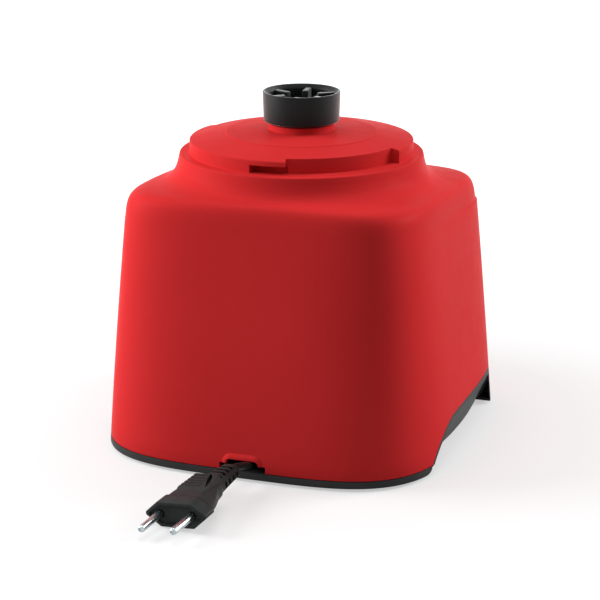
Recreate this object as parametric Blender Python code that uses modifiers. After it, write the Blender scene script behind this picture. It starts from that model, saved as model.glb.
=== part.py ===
"""Motor base of a kitchen blender: red housing, drive coupling, motor, base tray and lead.

Metres, +Z up.  The base stands on z = 0.  The origin is under the middle of the
housing; the drive axis is vertical and lies DRIVE_SETBACK behind it.  +Y is the
front (speed knob), -Y the back (cord notch), +X the right-hand side.
"""
import math

import bmesh
import bpy
from mathutils import Euler, Matrix, Vector

# ---------------------------------------------------------------- fits
FLUSH_STEP = 0.00005        # between faces that lie flush
SEAM_GAP = 0.0003          # between pieces that touch or are screwed together
RUNNING_GAP = 0.0006       # round anything that turns
SCREW_HOLE_GAP = 0.0003    # round a screw's shank
CUT_MARGIN = 0.0042        # how far a cutter reaches past what it cuts

# ---------------------------------------------------------------- housing
BODY_WIDTH = 0.200         # across, at the foot of the wall
BODY_DEPTH = 0.212         # front to back, at the foot of the wall
WALL_TAPER = 0.1067        # how far the wall leans in for each metre of height
FOOT_SQUARENESS = 3.67     # superellipse exponent of the plan at the bottom
TOP_SQUARENESS = 5.1       # the same where the wall meets the shoulder
WALL_TOP_HEIGHT = 0.1335   # where the straight wall ends and the shoulder rounds over
SHOULDER_DROP = 0.011      # how much lower the shoulder lies at the front
NECK_RADIUS = 0.0685
FLANGE_HEIGHT = 0.1625     # flat ring that the jar's base rests on
SHELL_WALL = 0.0026
DRIVE_SETBACK = 0.0077     # drive axis behind the middle of the body

# Middle rings of the straight wall: height, and share of the front drop.
WALL_RINGS = ((0.045, 0.0), (0.090, 0.3))

# Shoulder: share of the rise to the flange, share of the reach from neck to wall,
# and share of the front drop, from the wall up to the neck.
SHOULDER_STATIONS = (
    (0.22, 0.975, 1.0), (0.39, 0.93, 1.0), (0.50, 0.84, 1.0), (0.556, 0.68, 1.0),
    (0.585, 0.48, 0.9), (0.63, 0.27, 0.7), (0.72, 0.12, 0.4), (0.85, 0.04, 0.1),
)
FLAT_INSET_LOSS = 0.7      # share of the wall's inset that a level stretch of shoulder loses
STEEP_SINK = 0.45          # share of the wall's thickness that a steep stretch sinks by

# ---------------------------------------------------------------- jar seat
COLLAR_RADIUS = 0.0628
COLLAR_HEIGHT = 0.0073
COLLAR_WALL = 0.0030       # left behind the bayonet recess
DOME_RING_RADIUS = 0.0427
DOME_RING_RISE = 0.0041
BOSS_RADIUS = 0.0184
BOSS_FOOT_RISE = 0.0054    # foot of the boss above the collar's rim
BOSS_HEIGHT = 0.0036
BAYONET_DEPTH = 0.0048
BAYONET_FLOOR = 0.00015    # floor of the recess above the flange
LUG_SLOT_HEIGHT = 0.0044
RECESS_START, RECESS_END = math.radians(-79.0), math.radians(-12.8)
LUG_SLOT_START = math.radians(-97.2)
CUT_OVERLAP = math.radians(1.0)

# ---------------------------------------------------------------- base tray
RING_BOTTOM = 0.0015       # rubber feet hold the tray this far off the table
RING_TOP = 0.0055
TRAY_FLOOR = 0.0025        # thickness of the floor
RIM_WIDTH = 0.0042         # of the flat foot under the housing's wall
RIM_EDGE = 0.0006          # its small bevel
HUB_RADIUS = 0.0465        # outside of the round wall that the lead is wound on
HUB_WALL = 0.0022
HUB_TOP = 0.0270
VENT_COUNT = 8
VENT_WIDTH = 0.0038
VENT_INNER_RADIUS = 0.016
VENT_OUTER_RADIUS = 0.040

# ---------------------------------------------------------------- finger recesses in the sides
GRIP_TOP = 0.0226          # upper edge of the recess
GRIP_DEPTH = 0.0130        # how far in from the wall the slope reaches at the bottom
GRIP_SLOPE = 0.4565        # run out per unit of rise
GRIP_FRONT_INSET = 0.0467  # end wall with the air outlet, from the front of the body
GRIP_BACK_INSET = 0.0423   # where the recess begins, from the back of the body
GRIP_SWEEP = 0.0400        # length of the rounded start
GRIP_SWEEP_POWER = 0.75    # 1 is an ellipse; less rises more gently
GRIP_WALL = 0.0016
OUTLET_MARGIN = 0.0012
OUTLET_BLUNTNESS = 0.12     # share of the three-cornered outlet's height that its tip loses

# ---------------------------------------------------------------- cord notch
NOTCH_WIDTH = 0.0266
NOTCH_STEP_HEIGHT = 0.0094
NOTCH_ARCH_WIDTH = 0.0184
NOTCH_HEIGHT = 0.0121
NOTCH_CORNER = 0.0022

# ---------------------------------------------------------------- control panel
PANEL_WIDTH = 0.118
PANEL_HEIGHT = 0.060
PANEL_CENTRE = 0.076       # height of its middle and of the knob
PANEL_CORNER = 0.024
PANEL_WALL = 0.0030
WELL_RADIUS = 0.0255
WELL_DEPTH = 0.0050
KNOB_RADIUS = 0.0215
KNOB_HEIGHT = 0.0102
KNOB_GRIP_WIDTH = 0.0075
KNOB_GRIP_REACH = 0.0185
KNOB_SKIRT = 0.0028
SWITCH_WIDTH = 0.034
SWITCH_DEPTH = 0.022
SWITCH_SHAFT_RADIUS = 0.0030
SWITCH_SHAFT_LENGTH = 0.0120

# ---------------------------------------------------------------- coupling
COUPLING_RADIUS = 0.0217
COUPLING_TAPER = 0.0005
COUPLING_HEIGHT = 0.0166
COUPLING_WALL = 0.0026
COUPLING_FLOOR = 0.0040
COUPLING_HUB_RADIUS = 0.0078
COUPLING_HUB_HEIGHT = 0.0042
TOOTH_COUNT = 6
TOOTH_WIDTH = 0.0034
TOOTH_REACH = 0.0096       # radius that the teeth come in to
TOOTH_DROP = 0.0020        # below the rim
TOOTH_PHASE = math.radians(37.5)
INSERT_RADIUS = 0.0056
INSERT_HEIGHT = 0.0060

# ---------------------------------------------------------------- motor
SHAFT_RADIUS = 0.0040
SHAFT_TAIL = 0.0020        # past the fan
SEAL_OUTER_RADIUS = 0.0092
ARMATURE_RADIUS = 0.0200
ARMATURE_STACK = 0.0400
ARMATURE_SLOTS = 12
ARMATURE_SLOT_DEPTH = 0.0030
ARMATURE_SLOT_WIDTH = 0.0022
WINDING_HEAD_RADIUS = 0.0175
WINDING_HEAD_HEIGHT = 0.0095
COMMUTATOR_RADIUS = 0.0120
COMMUTATOR_LENGTH = 0.0150
COMMUTATOR_RISE = 0.0070   # above the underside of the lower bracket
STATOR_WIDTH = 0.0760
AIR_GAP = 0.0007
SLOT_INNER_X = 0.0205
SLOT_OUTER_X = 0.0310
SLOT_INNER_Y = 0.0184
SLOT_OUTER_Y = 0.0300
COIL_HEAD_HEIGHT = 0.0100
BRACKET_WIDTH = 0.0980
BRACKET_PLATE = 0.0030
TOP_BRACKET_DROP = 0.0155  # underside of the top bracket below the flange
UPPER_LEG_LENGTH = 0.0190  # from the stator up to the underside of the top bracket
LOWER_LEG_LENGTH = 0.0360  # from the underside of the lower bracket up to the stator
LOWER_BRACKET_WIDTH = 0.0800
BRACKET_HUB_WALL = 0.0030
LEG_HALF_WIDTH = 0.0060
WINDOW_INNER = 0.0190      # air windows in the top bracket, from the axis
WINDOW_OUTER = 0.0290
WINDOW_HALF_WIDTH = 0.0110
TOP_BEARING_RADIUS = 0.0110
TOP_BEARING_HEIGHT = 0.0070
LOWER_BEARING_RADIUS = 0.0095
LOWER_BEARING_HEIGHT = 0.0060
BEARING_LIP = 0.0015
MOUNT_SPREAD = 0.0424      # rubber mounts, from the axis along X and along Y
MOUNT_EAR_RADIUS = 0.0064  # of the bracket round a mount
MOUNT_RADIUS = 0.0060
MOUNT_HEIGHT = 0.0054
POST_RADIUS = 0.0055
SCREW_RADIUS = 0.0018
SCREW_HEAD_RADIUS = 0.0038
SCREW_HEAD_HEIGHT = 0.0024
BOLT_OFFSET = 0.0345       # through-bolts, from the axis along X
BOLT_RADIUS = 0.0019
NUT_RADIUS = 0.0040
NUT_HEIGHT = 0.0030
FAN_RADIUS = 0.0360
FAN_HEIGHT = 0.0110
FAN_PLATE = 0.0016
FAN_DROP = 0.0170          # lower face of the fan below the underside of the lower bracket
FAN_HUB_RADIUS = 0.0085
FAN_BLADES = 10
FAN_BLADE_THICKNESS = 0.0014
FAN_BLADE_INSET = 0.0010   # blades end this far inside the plate's edge
BRUSH_WIDTH = 0.0060
BRUSH_HEIGHT = 0.0080
BRUSH_LENGTH = 0.0150
HOLDER_WALL = 0.0016
HOLDER_LENGTH = 0.0240
SPRING_WIRE = 0.0003
SPRING_RADIUS = 0.0022
SPRING_TURNS = 5
SPRING_POINTS_PER_TURN = 8

# ---------------------------------------------------------------- screws and feet of the base
BASE_SCREW_SIDE_INSET = 0.0400
BASE_SCREW_END_INSET = 0.0220
BASE_POST_RADIUS = 0.0050
BASE_POST_TOP = 0.0550
BASE_RIB_WIDTH = 0.0030
BASE_RIB_BOTTOM = 0.0330
RIB_BITE = 0.0009          # how far a rib runs into what it joins
BASE_SCREW_HEAD_BOTTOM = 0.0008
BASE_SCREW_LENGTH = 0.0170
FOOT_SIDE_INSET = 0.0300
FOOT_END_INSET = 0.0400
FOOT_RADIUS = 0.0090
FOOT_STUD_RADIUS = 0.0025
FOOT_BULB_RADIUS = 0.0034

# ---------------------------------------------------------------- lead and plug
CORD_RADIUS = 0.0020
WINDING_START_RADIUS = 0.0520
WINDING_PITCH = 0.0058
WINDING_TURNS = 2.6
WINDING_END_ANGLE = math.radians(235.0)
WINDING_POINTS_PER_TURN = 24
CLAMP_LENGTH = 0.0080
CLAMP_HEIGHT = 0.0095
CLAMP_OUTER_REACH = 0.0012
CLAMP_SCREW_RADIUS = 0.0014
CLAMP_SCREW_HEAD_RADIUS = 0.0026
CLAMP_SCREW_HEAD_HEIGHT = 0.0016
# Middle of the free stretch, from the winding's end to the plug, in metres.
CORD_ROUTE = (
    (-0.0248, -0.0722, 0.0078), (-0.0130, -0.0800, 0.0079), (-0.0026, -0.0884, 0.0083),
    (0.0030, -0.0966, 0.0089), (0.0042, -0.1050, 0.0100), (0.0032, -0.1130, 0.0120),
)
CORD_POINT_SPACING = 0.0088
PLUG_FACE = (-0.0079, -0.1800, 0.0085)
PLUG_YAW = math.radians(-98.3)
PLUG_PITCH = math.radians(4.2)
PLUG_ROLL = math.radians(7.0)
PLUG_HALF_WIDTH = 0.0180
PLUG_HALF_HEIGHT = 0.0070
PLUG_LENGTH = 0.0580
# Sections of the plug: share of its length back from the face, shares of the half width and
# the half height, and how far along them the corners lie.
PLUG_SECTIONS = (
    (0.0, 1.0, 1.0, 0.55, 0.12), (0.155, 1.0, 1.0, 0.55, 0.12), (0.36, 0.72, 1.0, 0.60, 0.30),
    (0.57, 0.44, 0.92, 0.55, 0.50), (0.66, 0.34, 0.80, 0.50, 0.45), (1.0, 0.28, 0.54, 0.50, 0.45),
)
PIN_RADIUS = 0.0020
PIN_LENGTH = 0.0190
PIN_SEAT = 0.0055
PIN_TIP_BEVEL = 0.0009
PIN_PITCH = 0.0190

# ---------------------------------------------------------------- resolution
WALL_SEGMENTS = 60
ROUND = 32
SMALL_ROUND = 16
TINY_ROUND = 10
BISECTIONS = 40
ROUTE_STEPS = 24

# ---------------------------------------------------------------- derived sizes
RIM_HEIGHT = FLANGE_HEIGHT + COLLAR_HEIGHT
BOSS_TOP = RIM_HEIGHT + BOSS_FOOT_RISE + BOSS_HEIGHT
COUPLING_BASE = BOSS_TOP + 2 * RUNNING_GAP
COUPLING_TOP = COUPLING_BASE + COUPLING_HEIGHT
HOUSING_BOTTOM = RING_TOP + SEAM_GAP
FLOOR_UNDERSIDE = RING_TOP - TRAY_FLOOR
COLLAR_BORE = COLLAR_RADIUS - BAYONET_DEPTH - COLLAR_WALL
GRIP_FLOOR_X = BODY_WIDTH / 2 - GRIP_DEPTH
GRIP_FRONT = BODY_DEPTH / 2 - GRIP_FRONT_INSET
GRIP_BACK = -BODY_DEPTH / 2 + GRIP_BACK_INSET
BASE_SCREW_X = BODY_WIDTH / 2 - BASE_SCREW_SIDE_INSET
BASE_SCREW_Y = BODY_DEPTH / 2 - BASE_SCREW_END_INSET
FOOT_X = BODY_WIDTH / 2 - FOOT_SIDE_INSET
FOOT_Y = BODY_DEPTH / 2 - FOOT_END_INSET
TOP_BRACKET_BASE = FLANGE_HEIGHT - TOP_BRACKET_DROP
ARMATURE_BASE = TOP_BRACKET_BASE - UPPER_LEG_LENGTH - ARMATURE_STACK
LOWER_BRACKET_BASE = ARMATURE_BASE - LOWER_LEG_LENGTH
COMMUTATOR_BASE = LOWER_BRACKET_BASE + COMMUTATOR_RISE
FAN_BASE = LOWER_BRACKET_BASE - FAN_DROP
SHAFT_LOWER_END = FAN_BASE - SHAFT_TAIL
AXIS = Vector((0.0, -DRIVE_SETBACK, 0.0))
WALL_LEAN = math.atan(WALL_TAPER)


# ================================================================ scene helpers
def clear_scene():
    for item in list(bpy.data.objects):
        bpy.data.objects.remove(item, do_unlink=True)


def new_collection(name):
    group = bpy.data.collections.new(name)
    bpy.context.scene.collection.children.link(group)
    return group


def plastic(name, colour, roughness=0.5, metallic=0.0):
    material = bpy.data.materials.new(name)
    material.use_nodes = True
    shader = material.node_tree.nodes["Principled BSDF"]
    shader.inputs["Base Color"].default_value = (*colour, 1.0)
    shader.inputs["Roughness"].default_value = roughness
    shader.inputs["Metallic"].default_value = metallic
    return material


clear_scene()
PARTS = new_collection("blender_motor_base")
CUTTERS = new_collection("cutters")
RED = plastic("red gloss plastic", (0.52, 0.012, 0.014), 0.28)
CHARCOAL = plastic("charcoal plastic", (0.045, 0.047, 0.047), 0.42)
BLACK = plastic("black plastic", (0.012, 0.012, 0.012), 0.35)
RUBBER = plastic("black rubber", (0.018, 0.018, 0.018), 0.85)
STEEL = plastic("bright steel", (0.62, 0.62, 0.63), 0.25, 1.0)
ZINC = plastic("zinc plate", (0.55, 0.56, 0.58), 0.38, 1.0)
IRON = plastic("lamination iron", (0.17, 0.17, 0.18), 0.55, 1.0)
COPPER = plastic("enamelled copper", (0.46, 0.15, 0.05), 0.4, 1.0)
CARBON = plastic("carbon", (0.03, 0.03, 0.032), 0.6)
NYLON = plastic("natural nylon", (0.62, 0.60, 0.55), 0.5)
PVC = plastic("black flex", (0.014, 0.014, 0.015), 0.5)


def finish(item, name, material, smooth_angle=35.0):
    """Name an object, give it its material and put it among the parts or the cutters."""
    item.name = name
    item.data.name = name
    for group in list(item.users_collection):
        group.objects.unlink(item)
    if material is None:
        CUTTERS.objects.link(item)
        item.hide_render = True
        item.display_type = "WIRE"
        return item
    PARTS.objects.link(item)
    item.data.materials.append(material)
    item.data.shade_smooth()
    item.data.set_sharp_from_angle(angle=math.radians(smooth_angle))
    return item


def object_from_bmesh(bm, name, material):
    bmesh.ops.recalc_face_normals(bm, faces=bm.faces)
    mesh = bpy.data.meshes.new(name)
    bm.to_mesh(mesh)
    bm.free()
    item = bpy.data.objects.new(name, mesh)
    bpy.context.scene.collection.objects.link(item)
    return finish(item, name, material)


def box(name, low, high, material=None, bevel=0.0):
    """Box between two corners, with its edges rounded by a bevel if asked."""
    low, high = Vector(low), Vector(high)
    bm = bmesh.new()
    bmesh.ops.create_cube(bm, size=1.0)
    bmesh.ops.scale(bm, vec=high - low, verts=bm.verts)
    bmesh.ops.translate(bm, vec=(low + high) / 2, verts=bm.verts)
    item = object_from_bmesh(bm, name, material)
    if bevel > 0.0:
        rounding = item.modifiers.new("edge rounding", "BEVEL")
        rounding.width = bevel
        rounding.segments = 2
    return item


def cylinder(name, radius, bottom, top, centre=(0.0, 0.0), material=None, sides=SMALL_ROUND):
    """Upright cylinder between two heights, round a point of the plan."""
    bm = bmesh.new()
    bmesh.ops.create_cone(bm, cap_ends=True, segments=sides, radius1=radius, radius2=radius,
                          depth=top - bottom)
    bmesh.ops.translate(bm, vec=(centre[0], centre[1], (top + bottom) / 2), verts=bm.verts)
    return object_from_bmesh(bm, name, material)


def turned(name, profile, material=None, sides=ROUND, centre=(0.0, 0.0, 0.0), ring=False):
    """Profile of (radius, height) points, from the top down its outer side, turned round Z."""
    mesh = bpy.data.meshes.new(name)
    count = len(profile)
    edges = [(i, i + 1) for i in range(count - 1)]
    if ring:
        edges.append((count - 1, 0))
    mesh.from_pydata([(r, 0.0, z) for r, z in profile], edges, [])
    item = bpy.data.objects.new(name, mesh)
    bpy.context.scene.collection.objects.link(item)
    item.location = centre
    screw = item.modifiers.new("turning", "SCREW")
    screw.angle = math.tau
    screw.steps = sides
    screw.render_steps = sides
    screw.use_merge_vertices = True
    screw.merge_threshold = 0.00005
    finish(item, name, material)
    return item


def loft(name, rings, material=None, closed=False, caps=False):
    """Skin over rings of equally many points; closed joins the last ring to the first."""
    bm = bmesh.new()
    rows = [[bm.verts.new(point) for point in ring] for ring in rings]
    count = len(rows[0])
    pairs = list(zip(rows, rows[1:]))
    if closed:
        pairs.append((rows[-1], rows[0]))
    for lower, upper in pairs:
        for i in range(count):
            j = (i + 1) % count
            bm.faces.new((lower[i], lower[j], upper[j], upper[i]))
    if caps:
        bm.faces.new(reversed(rows[0]))
        bm.faces.new(rows[-1])
    return object_from_bmesh(bm, name, material)


def combine(item, other, operation="DIFFERENCE"):
    """Cut an object with another, or join the other to it."""
    step = item.modifiers.new(operation.lower() + " " + other.name, "BOOLEAN")
    step.operation = operation
    step.object = other
    step.solver = "EXACT"
    return item


def smooth_route(points, spacing):
    """Points at an even spacing along a smooth curve through the given ones."""
    points = [Vector(p) for p in points]
    padded = [2 * points[0] - points[1]] + points + [2 * points[-1] - points[-2]]
    dense = []
    for a, b, c, d in zip(padded, padded[1:], padded[2:], padded[3:]):
        for step in range(ROUTE_STEPS):
            t = step / ROUTE_STEPS
            dense.append(0.5 * (2 * b + (c - a) * t + (2 * a - 5 * b + 4 * c - d) * t ** 2
                                + (3 * b - a - 3 * c + d) * t ** 3))
    dense.append(points[-1])
    lengths = [0.0]
    for a, b in zip(dense, dense[1:]):
        lengths.append(lengths[-1] + (b - a).length)
    count = max(2, round(lengths[-1] / spacing))
    result = []
    index = 0
    for k in range(count + 1):
        target = lengths[-1] * k / count
        while index < len(lengths) - 2 and lengths[index + 1] < target:
            index += 1
        share = (target - lengths[index]) / max(1e-9, lengths[index + 1] - lengths[index])
        result.append(dense[index].lerp(dense[index + 1], min(1.0, max(0.0, share))))
    return result


def tube(name, points, radius, material, fineness=2, capped=True):
    """Round tube along a chain of points, made solid with filled ends."""
    curve = bpy.data.curves.new(name, "CURVE")
    curve.dimensions = "3D"
    curve.bevel_depth = radius
    curve.bevel_resolution = fineness
    curve.use_fill_caps = capped
    spline = curve.splines.new("POLY")
    spline.points.add(len(points) - 1)
    for knot, point in zip(spline.points, points):
        knot.co = (*point, 1.0)
    wire = bpy.data.objects.new(name + "_line", curve)
    bpy.context.scene.collection.objects.link(wire)
    graph = bpy.context.evaluated_depsgraph_get()
    mesh = bpy.data.meshes.new_from_object(wire.evaluated_get(graph))
    bm = bmesh.new()
    bm.from_mesh(mesh)
    bmesh.ops.remove_doubles(bm, verts=bm.verts, dist=0.00001)
    bmesh.ops.transform(bm, matrix=wire.matrix_world, verts=bm.verts)
    bpy.data.objects.remove(wire, do_unlink=True)
    return object_from_bmesh(bm, name, material)


# ================================================================ shape of the wall
def squareness(height):
    share = min(1.0, max(0.0, height / WALL_TOP_HEIGHT))
    return FOOT_SQUARENESS + (TOP_SQUARENESS - FOOT_SQUARENESS) * share


def wall_radius(angle, height):
    """Distance from the drive axis to the outside of the wall, level with a height."""
    height = min(height, WALL_TOP_HEIGHT)
    lean = WALL_TAPER * (height - RING_BOTTOM)
    half_x = BODY_WIDTH / 2 - lean
    half_y = BODY_DEPTH / 2 - lean
    power = squareness(height)
    near, far = 0.0, BODY_WIDTH + BODY_DEPTH
    for _ in range(BISECTIONS):
        middle = (near + far) / 2
        x = middle * math.cos(angle)
        y = middle * math.sin(angle) - DRIVE_SETBACK
        inside = abs(x / half_x) ** power + abs(y / half_y) ** power < 1.0
        near, far = (middle, far) if inside else (near, middle)
    return near


def wall_x(y, height):
    """Half-width of the outside of the wall at a depth and a height."""
    lean = WALL_TAPER * (height - RING_BOTTOM)
    power = squareness(height)
    share = 1.0 - abs(y / (BODY_DEPTH / 2 - lean)) ** power
    return (BODY_WIDTH / 2 - lean) * share ** (1.0 / power)


def front_share(y):
    """0 at the back of the shoulder, 1 at its front."""
    reach = BODY_DEPTH / 2 - WALL_TAPER * WALL_TOP_HEIGHT
    return min(1.0, max(0.0, (y + reach) / (2 * reach)))


def wall_angles():
    return [math.tau * i / WALL_SEGMENTS for i in range(WALL_SEGMENTS)]


def polar(angle, radius, height):
    return Vector((radius * math.cos(angle), radius * math.sin(angle) - DRIVE_SETBACK, height))


def wall_ring(height, inset=0.0, drop=0.0):
    """Ring on the wall; drop lowers it towards the front."""
    ring = []
    for angle in wall_angles():
        y = wall_radius(angle, height) * math.sin(angle) - DRIVE_SETBACK
        level = height - SHOULDER_DROP * drop * front_share(y)
        ring.append(polar(angle, wall_radius(angle, level) - inset, level))
    return ring


def shoulder_ring(share, blend, drop, inset=0.0, sink=0.0):
    ring = []
    level = WALL_TOP_HEIGHT + (FLANGE_HEIGHT - WALL_TOP_HEIGHT) * share
    for angle in wall_angles():
        reach = NECK_RADIUS + (wall_radius(angle, level) - NECK_RADIUS) * blend
        y = reach * math.sin(angle) - DRIVE_SETBACK
        ring.append(polar(angle, reach - inset, level - SHOULDER_DROP * drop * front_share(y) - sink))
    return ring


def round_ring(radius, height):
    return [polar(angle, radius, height) for angle in wall_angles()]


# ================================================================ housing
def shell_rings():
    outer = [wall_ring(HOUSING_BOTTOM)]
    outer += [wall_ring(height, drop=drop) for height, drop in WALL_RINGS]
    outer.append(wall_ring(WALL_TOP_HEIGHT, drop=1.0))
    outer += [shoulder_ring(*station) for station in SHOULDER_STATIONS]
    outer += [round_ring(NECK_RADIUS, FLANGE_HEIGHT), round_ring(COLLAR_RADIUS, FLANGE_HEIGHT),
              round_ring(COLLAR_RADIUS, RIM_HEIGHT),
              round_ring(DOME_RING_RADIUS, RIM_HEIGHT + DOME_RING_RISE),
              round_ring(BOSS_RADIUS, RIM_HEIGHT + BOSS_FOOT_RISE), round_ring(BOSS_RADIUS, BOSS_TOP),
              round_ring(SEAL_OUTER_RADIUS + SEAM_GAP, BOSS_TOP)]
    under_boss = RIM_HEIGHT + BOSS_FOOT_RISE - SHELL_WALL
    under_dome = RIM_HEIGHT - SHELL_WALL
    inner = [round_ring(SEAL_OUTER_RADIUS + SEAM_GAP, under_boss),
             round_ring(BOSS_RADIUS, under_boss),
             round_ring(DOME_RING_RADIUS, RIM_HEIGHT + DOME_RING_RISE - SHELL_WALL),
             round_ring(COLLAR_BORE, under_dome),
             round_ring(COLLAR_BORE, FLANGE_HEIGHT - SHELL_WALL),
             round_ring(NECK_RADIUS - SHELL_WALL, FLANGE_HEIGHT - SHELL_WALL)]
    for share, blend, drop in reversed(SHOULDER_STATIONS):
        flat = 1.0 - abs(2 * blend - 1.0)
        inner.append(shoulder_ring(share, blend, drop, SHELL_WALL * (1 - FLAT_INSET_LOSS * flat),
                                   SHELL_WALL * (STEEP_SINK + (1 - STEEP_SINK) * flat)))
    inner.append(wall_ring(WALL_TOP_HEIGHT, SHELL_WALL, 1.0))
    inner += [wall_ring(height, SHELL_WALL, drop) for height, drop in reversed(WALL_RINGS)]
    inner.append(wall_ring(HOUSING_BOTTOM, SHELL_WALL))
    return outer + inner


def ring_sector(name, inner, outer, start, end, bottom, top, material=None, steps=10):
    """Block between two radii and two angles round the drive axis."""
    section = ((inner, bottom), (outer, bottom), (outer, top), (inner, top))
    rings = []
    for i in range(steps + 1):
        angle = start + (end - start) * i / steps
        rings.append([polar(angle, radius, height) for radius, height in section])
    return loft(name, rings, material, caps=True)


def cut_bayonets(housing):
    """Two recesses in the collar, each with a lug slot under a lip at its closed end."""
    floor = FLANGE_HEIGHT + BAYONET_FLOOR
    bottom_of_cut = COLLAR_RADIUS - BAYONET_DEPTH
    beyond = COLLAR_RADIUS + SHELL_WALL
    for side in range(2):
        turn = math.pi * side
        recess = ring_sector(f"recess_{side + 1}", bottom_of_cut, beyond, RECESS_START + turn,
                             RECESS_END + turn, floor, RIM_HEIGHT + COLLAR_HEIGHT)
        slot = ring_sector(f"lug_slot_{side + 1}", bottom_of_cut, beyond, LUG_SLOT_START + turn,
                           RECESS_START + turn + CUT_OVERLAP, floor,
                           floor + LUG_SLOT_HEIGHT, steps=4)
        combine(housing, recess)
        combine(housing, slot)


def grip_profile(grow):
    """Side view of a finger recess as (y, z) points, grown all round by an amount."""
    bottom = RING_BOTTOM - CUT_MARGIN
    start = RING_BOTTOM - SEAM_GAP
    top = GRIP_TOP + grow
    points = [(GRIP_FRONT + grow, bottom), (GRIP_FRONT + grow, top)]
    steps = 7
    for i in range(steps + 1):
        angle = math.pi / 2 * i / steps
        y = GRIP_BACK - grow + GRIP_SWEEP * (1 - math.sin(angle)) ** GRIP_SWEEP_POWER
        z = start + (top - start) * math.cos(angle)
        points.append((y, z))
    points.append((GRIP_BACK - grow, bottom))
    return points


def grip_block(name, side, grow, slack=0.0):
    """Wedge that fills a finger recess, from its sloping floor out past the wall."""
    inner, outer = [], []
    behind_slope = (grow + slack) * math.hypot(1.0, GRIP_SLOPE)
    for y, z in grip_profile(grow + slack):
        inner_x = GRIP_FLOOR_X + GRIP_SLOPE * (z - RING_BOTTOM) - behind_slope
        inner.append((side * inner_x, y, z))
        outer.append((side * (BODY_WIDTH / 2 + CUT_MARGIN), y, z))
    return loft(name, [inner, outer], caps=True)


def cut_grips(housing):
    for side, word in ((1, "right"), (-1, "left")):
        combine(housing, grip_block(f"grip_clearance_{word}", side, GRIP_WALL, SEAM_GAP))


def arch_outline(width, height, corner, steps=4):
    """Right half and left half of a flat-bottomed arch, as (x, z) points."""
    half = width / 2
    points = []
    for i in range(steps + 1):
        angle = math.pi / 2 * i / steps
        points.append((half - corner + corner * math.cos(angle),
                       height - corner + corner * math.sin(angle)))
    left = [(-x, z) for x, z in reversed(points)]
    low = HOUSING_BOTTOM - CUT_MARGIN
    return [(half, low)] + points + left + [(-half, low)]


def prism_along_y(name, outline, back, front, material=None):
    rings = [[(x, y, z) for x, z in outline] for y in (back, front)]
    return loft(name, rings, material, caps=True)


def cut_notch(housing):
    """Stepped arch at the back that the lead comes out of."""
    outside = -BODY_DEPTH / 2 - CUT_MARGIN
    inside = -BODY_DEPTH / 2 + WALL_TAPER * NOTCH_HEIGHT + 2 * SHELL_WALL
    step = arch_outline(NOTCH_WIDTH, NOTCH_STEP_HEIGHT, NOTCH_CORNER / 2)
    arch = arch_outline(NOTCH_ARCH_WIDTH, NOTCH_HEIGHT, NOTCH_CORNER)
    combine(housing, prism_along_y("notch_step", step, outside, inside))
    combine(housing, prism_along_y("notch_arch", arch, outside, inside))


def panel_outline(grow):
    """Front view of the control panel: a rectangle with large round corners."""
    half_width = PANEL_WIDTH / 2 + grow
    half_height = PANEL_HEIGHT / 2 + grow
    corner = PANEL_CORNER + grow
    points = []
    for quarter in range(4):
        across = 1 if quarter in (0, 3) else -1
        upward = 1 if quarter in (0, 1) else -1
        for i in range(7):
            angle = math.pi / 2 * (quarter + i / 6)
            x = across * (half_width - corner) + corner * math.cos(angle)
            z = PANEL_CENTRE + upward * (half_height - corner) + corner * math.sin(angle)
            points.append((x, z))
    return points


def base_post_points():
    return [(x * BASE_SCREW_X, y * BASE_SCREW_Y) for y in (-1, 1) for x in (-1, 1)]


def mount_points():
    return [(x * MOUNT_SPREAD, y * MOUNT_SPREAD - DRIVE_SETBACK) for y in (-1, 1) for x in (-1, 1)]


def add_posts(housing):
    """Bosses for the base screws, and under the flange for the motor's rubber mounts."""
    for i, centre in enumerate(base_post_points(), 1):
        post = cylinder(f"base_post_{i}", BASE_POST_RADIUS, HOUSING_BOTTOM, BASE_POST_TOP, centre,
                        sides=TINY_ROUND)
        combine(housing, post, "UNION")
        side = math.copysign(1.0, centre[0])
        outer_edge = abs(centre[1]) + BASE_RIB_WIDTH / 2
        wall = side * (wall_x(outer_edge, BASE_POST_TOP) - SHELL_WALL + RIB_BITE)
        low_x, high_x = sorted((centre[0] + side * (BASE_POST_RADIUS - RIB_BITE), wall))
        rib = box(f"base_rib_{i}", (low_x, centre[1] - BASE_RIB_WIDTH / 2, BASE_RIB_BOTTOM),
                  (high_x, centre[1] + BASE_RIB_WIDTH / 2, BASE_POST_TOP - FLUSH_STEP))
        combine(housing, rib, "UNION")
        hole = cylinder(f"base_post_hole_{i}", SCREW_RADIUS + SCREW_HOLE_GAP,
                        HOUSING_BOTTOM - CUT_MARGIN, HOUSING_BOTTOM + BASE_SCREW_LENGTH, centre,
                        sides=TINY_ROUND)
        combine(housing, hole)
    post_bottom = TOP_BRACKET_BASE + BRACKET_PLATE + MOUNT_HEIGHT + 2 * SEAM_GAP
    for i, centre in enumerate(mount_points(), 1):
        post = cylinder(f"motor_post_{i}", POST_RADIUS, post_bottom, FLANGE_HEIGHT - SEAM_GAP, centre,
                        sides=TINY_ROUND)
        combine(housing, post, "UNION")
        hole = cylinder(f"motor_post_hole_{i}", SCREW_RADIUS + SCREW_HOLE_GAP,
                        post_bottom - CUT_MARGIN, FLANGE_HEIGHT - SHELL_WALL / 2, centre,
                        sides=TINY_ROUND)
        combine(housing, hole)


def build_housing():
    housing = loft("housing", shell_rings(), RED, closed=True)
    add_posts(housing)
    cut_bayonets(housing)
    cut_grips(housing)
    cut_notch(housing)
    behind = BASE_SCREW_Y + BASE_POST_RADIUS + 3 * SEAM_GAP
    opening = prism_along_y("panel_opening", panel_outline(SEAM_GAP), behind, BODY_DEPTH)
    combine(housing, opening)


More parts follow.
